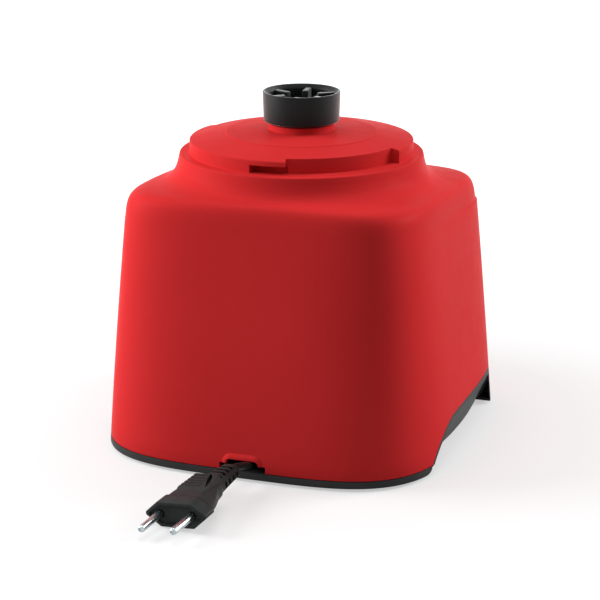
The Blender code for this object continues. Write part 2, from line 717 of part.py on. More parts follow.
# ================================================================ base tray
def outlet_cutter(name, side):
    """Three-cornered air outlet through the end wall of a finger recess."""
    low = RING_BOTTOM + OUTLET_MARGIN
    inner_low = GRIP_FLOOR_X + GRIP_SLOPE * (low - RING_BOTTOM) + OUTLET_MARGIN
    outer_low = BODY_WIDTH / 2 - WALL_TAPER * low - OUTLET_MARGIN
    rise = (outer_low - inner_low) / (GRIP_SLOPE + WALL_TAPER) * (1 - OUTLET_BLUNTNESS)
    high = low + rise
    inner_high = inner_low + GRIP_SLOPE * rise
    outer_high = outer_low - WALL_TAPER * rise
    outline = [(inner_low, low), (outer_low, low), (outer_high, high), (inner_high, high)]
    outline = [(side * x, z) for x, z in outline]
    return prism_along_y(name, outline, GRIP_FRONT - CUT_MARGIN, GRIP_FRONT + 3 * GRIP_WALL)


def add_grips(tray):
    """Sloping dark walls of the finger recesses, flush with the outside of the housing."""
    envelope_rings = [wall_ring(RING_BOTTOM + SEAM_GAP, 2 * RIM_EDGE),
                      wall_ring(RING_TOP - SEAM_GAP, RIM_EDGE)]
    envelope_rings += [wall_ring(height, FLUSH_STEP)
                       for height in (RING_TOP + SEAM_GAP, GRIP_TOP, 2 * GRIP_TOP)]
    for side, word in ((1, "right"), (-1, "left")):
        scoop = grip_block(f"scoop_{word}", side, GRIP_WALL)
        envelope = loft(f"scoop_envelope_{word}", envelope_rings, caps=True)
        combine(scoop, envelope, "INTERSECT")
        combine(scoop, grip_block(f"finger_space_{word}", side, 0.0))
        combine(scoop, outlet_cutter(f"air_outlet_{word}", side))
        combine(tray, grip_block(f"scoop_clearance_{word}", side, GRIP_WALL / 2))
        combine(tray, scoop, "UNION")


def hub_ring():
    """Round wall in the middle of the tray that guards the fan and carries the wound lead."""
    low = RING_TOP - TRAY_FLOOR / 2
    return turned("hub", [(HUB_RADIUS, HUB_TOP), (HUB_RADIUS, low), (HUB_RADIUS - HUB_WALL, low),
                          (HUB_RADIUS - HUB_WALL, HUB_TOP)], ring=True, centre=AXIS)


def cut_vents(tray):
    for i in range(VENT_COUNT):
        vent = box(f"vent_{i + 1}", (VENT_INNER_RADIUS, -VENT_WIDTH / 2, 0.0),
                   (VENT_OUTER_RADIUS, VENT_WIDTH / 2, HUB_TOP / 2))
        vent.location = AXIS
        vent.rotation_euler = (0.0, 0.0, math.tau * i / VENT_COUNT)
        combine(tray, vent)


def foot_points():
    return [(x * FOOT_X, y * FOOT_Y) for y in (-1, 1) for x in (-1, 1)]


def build_tray():
    rings = [wall_ring(FLOOR_UNDERSIDE, RIM_WIDTH), wall_ring(RING_BOTTOM, RIM_WIDTH - RIM_EDGE),
             wall_ring(RING_BOTTOM, RIM_EDGE), wall_ring(RING_BOTTOM + RIM_EDGE),
             wall_ring(RING_TOP)]
    tray = loft("base_tray", rings, CHARCOAL, caps=True)
    combine(tray, hub_ring(), "UNION")
    add_grips(tray)
    cut_vents(tray)
    for i, centre in enumerate(base_post_points(), 1):
        combine(tray, cylinder(f"base_screw_hole_{i}", SCREW_RADIUS + SCREW_HOLE_GAP, 0.0, HUB_TOP,
                               centre, sides=TINY_ROUND))
    for i, centre in enumerate(foot_points(), 1):
        combine(tray, cylinder(f"foot_hole_{i}", FOOT_STUD_RADIUS + SEAM_GAP, 0.0, HUB_TOP, centre,
                               sides=TINY_ROUND))
    centre = clamp_centre()
    combine(tray, cylinder("clamp_screw_hole", CLAMP_SCREW_RADIUS + SEAM_GAP, 0.0, HUB_TOP,
                           (centre.x, centre.y), sides=TINY_ROUND))


def build_feet():
    bulb = RING_TOP + SEAM_GAP
    profile = [(0.0, bulb + FOOT_BULB_RADIUS), (FOOT_BULB_RADIUS, bulb), (FOOT_STUD_RADIUS, bulb),
               (FOOT_STUD_RADIUS, FLOOR_UNDERSIDE - SEAM_GAP), (FOOT_RADIUS, FLOOR_UNDERSIDE - SEAM_GAP),
               (FOOT_RADIUS, SEAM_GAP * 2), (FOOT_RADIUS - SEAM_GAP * 2, 0.0), (0.0, 0.0)]
    for i, (x, y) in enumerate(foot_points(), 1):
        turned(f"foot_{i}", profile, RUBBER, SMALL_ROUND, (x, y, 0.0))


def build_base_screws():
    top = HOUSING_BOTTOM + BASE_SCREW_LENGTH - SEAM_GAP
    seat = FLOOR_UNDERSIDE - SEAM_GAP
    profile = [(0.0, top), (SCREW_RADIUS, top), (SCREW_RADIUS, seat), (SCREW_HEAD_RADIUS, seat),
               (SCREW_HEAD_RADIUS, BASE_SCREW_HEAD_BOTTOM), (0.0, BASE_SCREW_HEAD_BOTTOM)]
    for i, (x, y) in enumerate(base_post_points(), 1):
        turned(f"base_screw_{i}", profile, ZINC, TINY_ROUND, (x, y, 0.0))


# ================================================================ control panel and knob
def panel_frame():
    """Matrix of the panel: its Z looks out of the front wall, square to it."""
    reach = BODY_DEPTH / 2 - WALL_TAPER * (PANEL_CENTRE - RING_BOTTOM)
    turn = Matrix.Rotation(-math.pi / 2 + WALL_LEAN, 4, "X")
    return Matrix.Translation((0.0, reach, PANEL_CENTRE)) @ turn


def on_panel(item, depth=0.0):
    """Stand a piece, built along Z, on the panel's axis."""
    item.matrix_world = panel_frame() @ Matrix.Translation((0.0, 0.0, depth))
    return item


def build_panel():
    reach = PANEL_HEIGHT / 2 + CUT_MARGIN
    outside = loft("panel_outside", [wall_ring(PANEL_CENTRE + share * reach) for share in (-1, 0, 1)],
                   caps=True)
    inside = loft("panel_inside", [wall_ring(PANEL_CENTRE + share * 2 * reach, PANEL_WALL)
                                   for share in (-1, 0, 1)], caps=True)
    panel = prism_along_y("front_panel", panel_outline(0.0), BODY_DEPTH / 4, BODY_DEPTH, CHARCOAL)
    combine(panel, outside, "INTERSECT")
    combine(panel, inside)
    cup_depth = WELL_DEPTH + PANEL_WALL
    cup = on_panel(cylinder("well_cup", WELL_RADIUS + PANEL_WALL, -cup_depth, -PANEL_WALL / 2,
                            sides=ROUND))
    well = on_panel(cylinder("well", WELL_RADIUS, -WELL_DEPTH, PANEL_WALL, sides=ROUND))
    shaft_hole = on_panel(cylinder("shaft_hole", SWITCH_SHAFT_RADIUS + RUNNING_GAP, -2 * cup_depth, 0.0))
    combine(panel, cup, "UNION")
    combine(panel, well)
    combine(panel, shaft_hole)


def build_knob():
    """Round knob with a raised grip bar; its origin is on the switch's axis."""
    seat = -WELL_DEPTH + RUNNING_GAP
    crown = seat + KNOB_HEIGHT
    body = seat + KNOB_SKIRT
    knob = turned("speed_knob", [(0.0, body + KNOB_SKIRT), (KNOB_RADIUS - KNOB_SKIRT, body + KNOB_SKIRT),
                                 (KNOB_RADIUS, body), (KNOB_RADIUS, seat), (0.0, seat)], CHARCOAL, ROUND)
    grip = box("knob_grip", (-KNOB_GRIP_WIDTH / 2, -KNOB_GRIP_REACH, body),
               (KNOB_GRIP_WIDTH / 2, KNOB_GRIP_REACH, crown))
    bore = cylinder("knob_bore", SWITCH_SHAFT_RADIUS + SEAM_GAP, seat - KNOB_SKIRT,
                    crown - KNOB_SKIRT)
    on_panel(knob)
    combine(knob, on_panel(grip), "UNION")
    combine(knob, on_panel(bore))
    shaft_top = crown - KNOB_SKIRT - SEAM_GAP
    shaft = cylinder("switch_shaft", SWITCH_SHAFT_RADIUS, shaft_top - SWITCH_SHAFT_LENGTH - WELL_DEPTH,
                     shaft_top, material=ZINC)
    on_panel(shaft)


def build_switch():
    """Rotary switch clipped behind the well of the panel."""
    front = -(WELL_DEPTH + PANEL_WALL + SEAM_GAP)
    half = SWITCH_WIDTH / 2
    switch = box("rotary_switch", (-half, -half, front - SWITCH_DEPTH), (half, half, front), BLACK)
    on_panel(switch)
    bore = cylinder("switch_bore", SWITCH_SHAFT_RADIUS + RUNNING_GAP, front - SWITCH_DEPTH / 2,
                    front + SWITCH_DEPTH)
    combine(switch, on_panel(bore))


# ================================================================ coupling
def build_coupling():
    """Cup with teeth inside, screwed to the motor shaft."""
    base, top = COUPLING_BASE, COUPLING_TOP
    low_radius = COUPLING_RADIUS - COUPLING_TAPER
    bore = COUPLING_RADIUS - COUPLING_WALL
    floor = base + COUPLING_FLOOR
    hub_top = floor + COUPLING_HUB_HEIGHT
    rim = COUPLING_TAPER
    profile = [(COUPLING_HUB_RADIUS, hub_top), (COUPLING_HUB_RADIUS, floor), (bore, floor),
               (bore, top - rim), (bore + rim, top), (COUPLING_RADIUS - rim, top),
               (COUPLING_RADIUS, top - rim), (low_radius, base + rim), (low_radius - rim, base),
               (INSERT_RADIUS + SEAM_GAP, base), (INSERT_RADIUS + SEAM_GAP, hub_top)]
    coupling = turned("drive_coupling", profile, BLACK, ROUND, AXIS, ring=True)
    for i in range(TOOTH_COUNT):
        tooth = box(f"coupling_tooth_{i + 1}", (TOOTH_REACH, -TOOTH_WIDTH / 2, floor - COUPLING_FLOOR / 2),
                    (bore + COUPLING_WALL / 2, TOOTH_WIDTH / 2, top - TOOTH_DROP))
        tooth.location = AXIS
        tooth.rotation_euler = (0.0, 0.0, TOOTH_PHASE + math.tau * i / TOOTH_COUNT)
        combine(coupling, tooth, "UNION")
    insert_top = base + INSERT_HEIGHT
    turned("coupling_insert", [(INSERT_RADIUS, insert_top), (INSERT_RADIUS, base),
                               (SHAFT_RADIUS + SEAM_GAP, base), (SHAFT_RADIUS + SEAM_GAP, insert_top)],
           ZINC, SMALL_ROUND, AXIS, ring=True)


def build_seal():
    low = RIM_HEIGHT + BOSS_FOOT_RISE - SHELL_WALL
    high = BOSS_TOP
    turned("shaft_seal", [(SEAL_OUTER_RADIUS, high), (SEAL_OUTER_RADIUS, low),
                          (SHAFT_RADIUS + RUNNING_GAP, low), (SHAFT_RADIUS + RUNNING_GAP, high)],
           RUBBER, SMALL_ROUND, AXIS, ring=True)


# ================================================================ motor
def build_shaft():
    top = COUPLING_BASE + INSERT_HEIGHT
    cylinder("motor_shaft", SHAFT_RADIUS, SHAFT_LOWER_END, top, (AXIS.x, AXIS.y), STEEL)


def collar_piece(name, radius, bottom, top, material, sides=ROUND, bore=SHAFT_RADIUS + SEAM_GAP):
    """Ring on the shaft."""
    return turned(name, [(radius, top), (radius, bottom), (bore, bottom), (bore, top)], material,
                  sides, AXIS, ring=True)


def build_armature():
    stack_top = ARMATURE_BASE + ARMATURE_STACK
    core = collar_piece("armature_core", ARMATURE_RADIUS, ARMATURE_BASE, stack_top, IRON)
    for i in range(ARMATURE_SLOTS):
        slot = box(f"armature_slot_{i + 1}",
                   (ARMATURE_RADIUS - ARMATURE_SLOT_DEPTH, -ARMATURE_SLOT_WIDTH / 2,
                    ARMATURE_BASE - CUT_MARGIN),
                   (ARMATURE_RADIUS + CUT_MARGIN, ARMATURE_SLOT_WIDTH / 2, stack_top + CUT_MARGIN))
        slot.location = AXIS
        slot.rotation_euler = (0.0, 0.0, math.tau * (i + 0.5) / ARMATURE_SLOTS)
        combine(core, slot)
    above = stack_top + SEAM_GAP
    below = ARMATURE_BASE - SEAM_GAP
    collar_piece("armature_winding_top", WINDING_HEAD_RADIUS, above, above + WINDING_HEAD_HEIGHT, COPPER)
    collar_piece("armature_winding_bottom", WINDING_HEAD_RADIUS, below - WINDING_HEAD_HEIGHT, below,
                 COPPER)
    collar_piece("commutator", COMMUTATOR_RADIUS, COMMUTATOR_BASE, COMMUTATOR_BASE + COMMUTATOR_LENGTH,
                 COPPER)


def build_fan():
    """Fan with straight blades hanging from its plate."""
    plate_low = FAN_BASE + FAN_HEIGHT - FAN_PLATE
    top = FAN_BASE + FAN_HEIGHT
    bore = SHAFT_RADIUS + SEAM_GAP
    fan = turned("cooling_fan", [(FAN_RADIUS, top), (FAN_RADIUS, plate_low), (FAN_HUB_RADIUS, plate_low),
                                 (FAN_HUB_RADIUS, FAN_BASE), (bore, FAN_BASE), (bore, top)],
                 NYLON, ROUND, AXIS, ring=True)
    for i in range(FAN_BLADES):
        blade = box(f"fan_blade_{i + 1}",
                    (FAN_HUB_RADIUS - FAN_BLADE_THICKNESS, -FAN_BLADE_THICKNESS / 2, FAN_BASE),
                    (FAN_RADIUS - FAN_BLADE_INSET, FAN_BLADE_THICKNESS / 2, plate_low + FAN_PLATE / 2))
        blade.location = AXIS
        blade.rotation_euler = (0.0, 0.0, math.tau * i / FAN_BLADES)
        combine(fan, blade, "UNION")


def build_stator():
    half = STATOR_WIDTH / 2
    top = ARMATURE_BASE + ARMATURE_STACK
    core = box("stator_core", (-half, -half - DRIVE_SETBACK, ARMATURE_BASE),
               (half, half - DRIVE_SETBACK, top), IRON)
    below, above = ARMATURE_BASE - CUT_MARGIN, top + CUT_MARGIN
    combine(core, cylinder("stator_bore", ARMATURE_RADIUS + AIR_GAP, below, above,
                           (0.0, -DRIVE_SETBACK), sides=ROUND))
    for side, word in ((1, "right"), (-1, "left")):
        inner, outer = sorted((side * SLOT_INNER_X, side * SLOT_OUTER_X))
        for end in (1, -1):
            near, far = sorted((end * SLOT_INNER_Y, end * SLOT_OUTER_Y))
            mark = "front" if end > 0 else "back"
            slot = box(f"stator_slot_{word}_{mark}", (inner, near - DRIVE_SETBACK, below),
                       (outer, far - DRIVE_SETBACK, above))
            combine(core, slot)
        combine(core, cylinder(f"bolt_hole_{word}", BOLT_RADIUS + SEAM_GAP, below, above,
                               (side * BOLT_OFFSET, -DRIVE_SETBACK), sides=TINY_ROUND))
        build_field_coil(side, word, top)


def build_field_coil(side, word, stack_top):
    """Coil round one pole: its sides lie in the slots and its heads above and below the stack."""
    inner, outer = sorted((side * (SLOT_INNER_X + SEAM_GAP), side * (SLOT_OUTER_X - SEAM_GAP)))
    reach = SLOT_OUTER_Y - SEAM_GAP
    window = SLOT_INNER_Y + SEAM_GAP
    low = ARMATURE_BASE - SEAM_GAP
    high = stack_top + SEAM_GAP
    coil = box(f"field_coil_{word}", (inner, -reach - DRIVE_SETBACK, low - COIL_HEAD_HEIGHT),
               (outer, reach - DRIVE_SETBACK, high + COIL_HEAD_HEIGHT), COPPER)
    middle = box(f"coil_window_{word}", (inner - CUT_MARGIN, -window - DRIVE_SETBACK, low),
                 (outer + CUT_MARGIN, window - DRIVE_SETBACK, high))
    combine(coil, middle)


def bracket(name, width, base, hub_bottom, hub_top, bearing_radius, bearing_low, bearing_high):
    """Square plate with a bearing hub in the middle and air windows round it."""
    half = width / 2
    plate = box(name, (-half, -half - DRIVE_SETBACK, base),
                (half, half - DRIVE_SETBACK, base + BRACKET_PLATE), ZINC)
    hub_radius = bearing_radius + BRACKET_HUB_WALL
    centre = (0.0, -DRIVE_SETBACK)
    combine(plate, cylinder(name + "_hub", hub_radius, hub_bottom, hub_top, centre, sides=ROUND), "UNION")
    combine(plate, cylinder(name + "_seat", bearing_radius + SEAM_GAP, bearing_low, bearing_high, centre,
                            sides=ROUND))
    combine(plate, cylinder(name + "_bore", SHAFT_RADIUS + 2 * RUNNING_GAP, hub_bottom - CUT_MARGIN,
                            hub_top + CUT_MARGIN, centre))
    return plate


def add_legs(plate, low, high):
    """Two legs that space a bracket from the stator, round the through-bolts."""
    for side, word in ((1, "right"), (-1, "left")):
        near, far = sorted((side * (SLOT_OUTER_X + SEAM_GAP), side * STATOR_WIDTH / 2))
        leg = box(f"{plate.name}_leg_{word}", (near, -LEG_HALF_WIDTH - DRIVE_SETBACK, low),
                  (far, LEG_HALF_WIDTH - DRIVE_SETBACK, high))
        hole = cylinder(f"{plate.name}_leg_hole_{word}", BOLT_RADIUS + SEAM_GAP, low - CUT_MARGIN,
                        high + CUT_MARGIN, (side * BOLT_OFFSET, -DRIVE_SETBACK), sides=TINY_ROUND)
        combine(plate, leg, "UNION")
        combine(plate, hole)


def build_brackets():
    upper_seat = TOP_BRACKET_BASE - BEARING_LIP
    top = bracket("motor_top_bracket", BRACKET_WIDTH, TOP_BRACKET_BASE, upper_seat,
                  upper_seat + BEARING_LIP + TOP_BEARING_HEIGHT + SEAM_GAP, TOP_BEARING_RADIUS,
                  upper_seat + BEARING_LIP - SEAM_GAP, TOP_BRACKET_BASE + 2 * TOP_BEARING_HEIGHT)
    for i, centre in enumerate(mount_points(), 1):
        combine(top, cylinder(f"mount_ear_{i}", MOUNT_EAR_RADIUS, TOP_BRACKET_BASE + FLUSH_STEP,
                              TOP_BRACKET_BASE + BRACKET_PLATE - FLUSH_STEP, centre), "UNION")
        combine(top, cylinder(f"mount_hole_{i}", SCREW_RADIUS + SCREW_HOLE_GAP,
                              TOP_BRACKET_BASE - CUT_MARGIN, TOP_BRACKET_BASE + 2 * CUT_MARGIN,
                              centre, sides=TINY_ROUND))
    for i in range(4):
        window = box(f"top_window_{i + 1}",
                     (WINDOW_INNER, -WINDOW_HALF_WIDTH, TOP_BRACKET_BASE - CUT_MARGIN),
                     (WINDOW_OUTER, WINDOW_HALF_WIDTH, TOP_BRACKET_BASE + 2 * CUT_MARGIN))
        window.location = AXIS
        window.rotation_euler = (0.0, 0.0, math.pi / 2 * i)
        combine(top, window)
    lower_hub_low = LOWER_BRACKET_BASE - LOWER_BEARING_HEIGHT + BRACKET_PLATE - BEARING_LIP
    lower = bracket("motor_bottom_bracket", LOWER_BRACKET_WIDTH, LOWER_BRACKET_BASE, lower_hub_low,
                    LOWER_BRACKET_BASE + BRACKET_PLATE - SEAM_GAP, LOWER_BEARING_RADIUS,
                    LOWER_BRACKET_BASE / 2, lower_hub_low + LOWER_BEARING_HEIGHT + SEAM_GAP)
    add_legs(top, ARMATURE_BASE + ARMATURE_STACK + SEAM_GAP, TOP_BRACKET_BASE + BRACKET_PLATE / 2)
    add_legs(lower, LOWER_BRACKET_BASE + BRACKET_PLATE / 2, ARMATURE_BASE - SEAM_GAP)
    low = TOP_BRACKET_BASE
    collar_piece("upper_bearing", TOP_BEARING_RADIUS, low, low + TOP_BEARING_HEIGHT, STEEL, ROUND,
                 SHAFT_RADIUS + SEAM_GAP)
    collar_piece("lower_bearing", LOWER_BEARING_RADIUS, lower_hub_low,
                 lower_hub_low + LOWER_BEARING_HEIGHT, STEEL, ROUND, SHAFT_RADIUS + SEAM_GAP)


def build_motor_fasteners():
    """Rubber mounts and their screws, and the two through-bolts with nuts."""
    plate_top = TOP_BRACKET_BASE + BRACKET_PLATE
    mount_low = plate_top + SEAM_GAP
    seat = TOP_BRACKET_BASE - SEAM_GAP
    top = FLANGE_HEIGHT - SHELL_WALL / 2 - SEAM_GAP
    bore = SCREW_RADIUS + SEAM_GAP
    for i, (x, y) in enumerate(mount_points(), 1):
        turned(f"motor_mount_{i}", [(MOUNT_RADIUS, mount_low + MOUNT_HEIGHT), (MOUNT_RADIUS, mount_low),
                                    (bore, mount_low), (bore, mount_low + MOUNT_HEIGHT)],
               RUBBER, SMALL_ROUND, (x, y, 0.0), ring=True)
        turned(f"motor_screw_{i}", [(0.0, top), (SCREW_RADIUS, top), (SCREW_RADIUS, seat),
                                    (SCREW_HEAD_RADIUS, seat), (SCREW_HEAD_RADIUS, seat - SCREW_HEAD_HEIGHT),
                                    (0.0, seat - SCREW_HEAD_HEIGHT)], ZINC, TINY_ROUND, (x, y, 0.0))
    nut_low = plate_top + SEAM_GAP
    bolt_top = nut_low + NUT_HEIGHT + BOLT_RADIUS
    seat = LOWER_BRACKET_BASE - SEAM_GAP
    for side, word in ((1, "right"), (-1, "left")):
        place = (side * BOLT_OFFSET, -DRIVE_SETBACK, 0.0)
        turned(f"motor_bolt_{word}", [(0.0, bolt_top), (BOLT_RADIUS, bolt_top), (BOLT_RADIUS, seat),
                                      (SCREW_HEAD_RADIUS, seat),
                                      (SCREW_HEAD_RADIUS, seat - SCREW_HEAD_HEIGHT),
                                      (0.0, seat - SCREW_HEAD_HEIGHT)], ZINC, TINY_ROUND, place)
        turned(f"motor_nut_{word}", [(NUT_RADIUS, nut_low + NUT_HEIGHT), (NUT_RADIUS, nut_low),
                                     (BOLT_RADIUS + SEAM_GAP, nut_low),
                                     (BOLT_RADIUS + SEAM_GAP, nut_low + NUT_HEIGHT)],
               ZINC, 6, place, ring=True)


def build_brushes():
    """Two carbon brushes in holders on the lower bracket, each pushed in by a spring."""
    middle = COMMUTATOR_BASE + COMMUTATOR_LENGTH / 2
    low = LOWER_BRACKET_BASE + BRACKET_PLATE + SEAM_GAP
    bore_x = BRUSH_WIDTH / 2 + SEAM_GAP
    bore_z = BRUSH_HEIGHT / 2 + SEAM_GAP
    inner = COMMUTATOR_RADIUS + SEAM_GAP
    mouth = inner + HOLDER_WALL
    end = mouth + HOLDER_LENGTH
    for side, word in ((1, "front"), (-1, "back")):
        def along(a, b):
            return sorted((side * a - DRIVE_SETBACK, side * b - DRIVE_SETBACK))
        y0, y1 = along(mouth, end)
        holder = box(f"brush_holder_{word}", (-bore_x - HOLDER_WALL, y0, low),
                     (bore_x + HOLDER_WALL, y1, middle + bore_z + HOLDER_WALL), BLACK)
        y0, y1 = along(inner, end - HOLDER_WALL)
        combine(holder, box(f"brush_bore_{word}", (-bore_x, y0, middle - bore_z),
                            (bore_x, y1, middle + bore_z)))
        y0, y1 = along(inner, inner + BRUSH_LENGTH)
        box(f"carbon_brush_{word}", (-BRUSH_WIDTH / 2, y0, middle - BRUSH_HEIGHT / 2),
            (BRUSH_WIDTH / 2, y1, middle + BRUSH_HEIGHT / 2), CARBON)
        start = inner + BRUSH_LENGTH + SEAM_GAP + SPRING_WIRE
        stop = end - HOLDER_WALL - SEAM_GAP - SPRING_WIRE
        points = []
        count = SPRING_TURNS * SPRING_POINTS_PER_TURN
        for i in range(count + 1):
            angle = math.tau * i / SPRING_POINTS_PER_TURN
            y = side * (start + (stop - start) * i / count) - DRIVE_SETBACK
            points.append(Vector((SPRING_RADIUS * math.cos(angle), y,
                                  middle + SPRING_RADIUS * math.sin(angle))))
        tube(f"brush_spring_{word}", points, SPRING_WIRE, STEEL, fineness=0)


# ================================================================ lead and plug
def winding_height():
    return RING_TOP + SEAM_GAP + CORD_RADIUS


def winding_points():
    """Flat spiral round the hub, with one diameter of straight lead at each end."""
    count = round(WINDING_TURNS * WINDING_POINTS_PER_TURN)
    start_angle = WINDING_END_ANGLE - math.tau * WINDING_TURNS
    points = []
    for i in range(count + 1):
        turn = WINDING_TURNS * i / count
        points.append(polar(start_angle + math.tau * turn, WINDING_START_RADIUS + WINDING_PITCH * turn,
                            winding_height()))
    straight = 2 * CORD_RADIUS
    points.insert(0, points[0] - tangent_at(start_angle) * straight)
    points.append(points[-1] + tangent_at(WINDING_END_ANGLE) * straight)
    return points


def tangent_at(angle):
    return Vector((-math.sin(angle), math.cos(angle), 0.0))


def least_self_gap(points, radius, per_turn):
    """Least distance between stretches of a winding that lie a turn apart."""
    best = 1.0
    for i, a in enumerate(points):
        for b in points[i + per_turn // 2:]:
            best = min(best, (a - b).length)
    return best - 2 * radius


def clamp_centre():
    """Middle of the cord clamp's foot, just behind the winding's inner end."""
    angle = WINDING_END_ANGLE - math.tau * WINDING_TURNS
    face = winding_points()[0] - tangent_at(angle) * SEAM_GAP
    inner = HUB_RADIUS + SEAM_GAP
    outer = WINDING_START_RADIUS + CLAMP_OUTER_REACH
    outward = Vector((math.cos(angle), math.sin(angle), 0.0))
    middle = face - tangent_at(angle) * CLAMP_LENGTH / 2
    middle += outward * ((inner + outer) / 2 - WINDING_START_RADIUS)
    return Vector((middle.x, middle.y, RING_TOP + SEAM_GAP))


def build_clamp():
    angle = WINDING_END_ANGLE - math.tau * WINDING_TURNS
    width = WINDING_START_RADIUS + CLAMP_OUTER_REACH - HUB_RADIUS - SEAM_GAP
    centre = clamp_centre()
    clamp = box("cord_clamp", (-width / 2, -CLAMP_LENGTH / 2, 0.0),
                (width / 2, CLAMP_LENGTH / 2, CLAMP_HEIGHT), BLACK)
    clamp.location = centre
    clamp.rotation_euler = (0.0, 0.0, angle)
    low = FLOOR_UNDERSIDE
    seat = centre.z + CLAMP_HEIGHT + SEAM_GAP
    combine(clamp, cylinder("clamp_bore", CLAMP_SCREW_RADIUS + SEAM_GAP, low, seat + CUT_MARGIN,
                            (centre.x, centre.y), sides=TINY_ROUND))
    head_top = seat + CLAMP_SCREW_HEAD_HEIGHT
    turned("clamp_screw", [(0.0, head_top), (CLAMP_SCREW_HEAD_RADIUS, head_top),
                           (CLAMP_SCREW_HEAD_RADIUS, seat), (CLAMP_SCREW_RADIUS, seat),
                           (CLAMP_SCREW_RADIUS, low), (0.0, low)], ZINC, TINY_ROUND,
           (centre.x, centre.y, 0.0))


def plug_matrix():
    """Places the plug, which is built along X with its pins at +X, on the table."""
    turn = Euler((PLUG_ROLL, PLUG_PITCH, PLUG_YAW), "XYZ").to_matrix().to_4x4()
    return Matrix.Translation(PLUG_FACE) @ turn


def build_lead():
    winding = winding_points()
    print("least gap of the winding to itself, mm:",
          round(1000 * least_self_gap(winding, CORD_RADIUS, WINDING_POINTS_PER_TURN), 2))
    tube("cord_winding", winding, CORD_RADIUS, PVC, fineness=1)
    leave = tangent_at(WINDING_END_ANGLE)
    start = winding[-1] + leave * SEAM_GAP
    place = plug_matrix()
    tail = place @ Vector((-PLUG_LENGTH - SEAM_GAP, 0.0, 0.0))
    inward = (place.to_3x3() @ Vector((-1.0, 0.0, 0.0))).normalized()
    straight = 2 * CORD_RADIUS
    route = [start, start + leave * straight]
    route += [Vector(point) for point in CORD_ROUTE]
    route += [tail + inward * straight, tail]
    tube("cord_tail", smooth_route(route, CORD_POINT_SPACING), CORD_RADIUS, PVC, fineness=2)


def plug_section(x, half_width, half_height, shoulder, cheek):
    """Eight-sided section of the plug; shoulder and cheek say how square its corners are."""
    w, h = half_width, half_height
    return [(x, y, z) for y, z in ((w, cheek * h), (shoulder * w, h), (-shoulder * w, h), (-w, cheek * h),
                                   (-w, -cheek * h), (-shoulder * w, -h), (shoulder * w, -h),
                                   (w, -cheek * h))]


def build_plug():
    rings = [plug_section(-back * PLUG_LENGTH, width * PLUG_HALF_WIDTH, height * PLUG_HALF_HEIGHT,
                          shoulder, cheek) for back, width, height, shoulder, cheek in PLUG_SECTIONS]
    body = loft("plug_body", rings, BLACK, caps=True)
    place = plug_matrix()
    body.matrix_world = place
    lean_over = Matrix.Rotation(math.pi / 2, 4, "Y")
    profile = [(0.0, PIN_LENGTH), (PIN_RADIUS - PIN_TIP_BEVEL, PIN_LENGTH),
               (PIN_RADIUS, PIN_LENGTH - PIN_TIP_BEVEL), (PIN_RADIUS, -PIN_SEAT), (0.0, -PIN_SEAT)]
    for side, word in ((1, "right"), (-1, "left")):
        seat = place @ Matrix.Translation((0.0, side * PIN_PITCH / 2, 0.0)) @ lean_over
        pin = turned(f"plug_pin_{word}", profile, STEEL, SMALL_ROUND)
        pin.matrix_world = seat
        hole = cylinder(f"pin_hole_{word}", PIN_RADIUS + SEAM_GAP, -PIN_SEAT - SEAM_GAP, PIN_LENGTH)
        hole.matrix_world = seat
        combine(body, hole)


# ================================================================ whole object
def main():
    build_housing()
    build_tray()
    build_feet()
    build_base_screws()
    build_panel()
    build_knob()
    build_switch()
    build_coupling()
    build_seal()
    build_shaft()
    build_armature()
    build_fan()
    build_stator()
    build_brackets()
    build_motor_fasteners()
    build_brushes()
    build_clamp()
    build_lead()
    build_plug()
    bpy.context.view_layer.update()


main()
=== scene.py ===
"""Motor base of a kitchen blender: the looks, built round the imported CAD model.

Metres, +Z up.  +Y is the front with the speed knob, -Y the back with the cord notch,
+X the right-hand side.  The drive axis is vertical and lies DRIVE_SETBACK behind the middle.
"""
import math

import bmesh
import bpy
import numpy as np
from mathutils import Euler, Matrix, Vector


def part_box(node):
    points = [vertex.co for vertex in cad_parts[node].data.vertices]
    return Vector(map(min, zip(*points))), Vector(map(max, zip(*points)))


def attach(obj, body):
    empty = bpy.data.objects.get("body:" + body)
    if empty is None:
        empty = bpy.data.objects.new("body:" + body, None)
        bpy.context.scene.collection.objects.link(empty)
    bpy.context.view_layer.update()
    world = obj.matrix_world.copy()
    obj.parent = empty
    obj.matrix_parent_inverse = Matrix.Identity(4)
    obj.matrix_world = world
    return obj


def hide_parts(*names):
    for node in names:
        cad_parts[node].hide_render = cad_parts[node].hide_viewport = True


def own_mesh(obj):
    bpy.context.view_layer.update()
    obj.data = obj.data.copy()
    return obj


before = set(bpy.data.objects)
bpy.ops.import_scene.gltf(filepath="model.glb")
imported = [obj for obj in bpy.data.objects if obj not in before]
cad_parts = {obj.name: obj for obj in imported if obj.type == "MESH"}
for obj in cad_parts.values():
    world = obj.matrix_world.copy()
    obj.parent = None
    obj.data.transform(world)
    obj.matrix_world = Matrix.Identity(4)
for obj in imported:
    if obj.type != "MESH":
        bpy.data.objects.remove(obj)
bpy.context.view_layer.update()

# ---------------------------------------------------------------- sizes, as in the CAD
SEAM_GAP = 0.0003
CUT_MARGIN = 0.0042
FLUSH_STEP = 0.00005

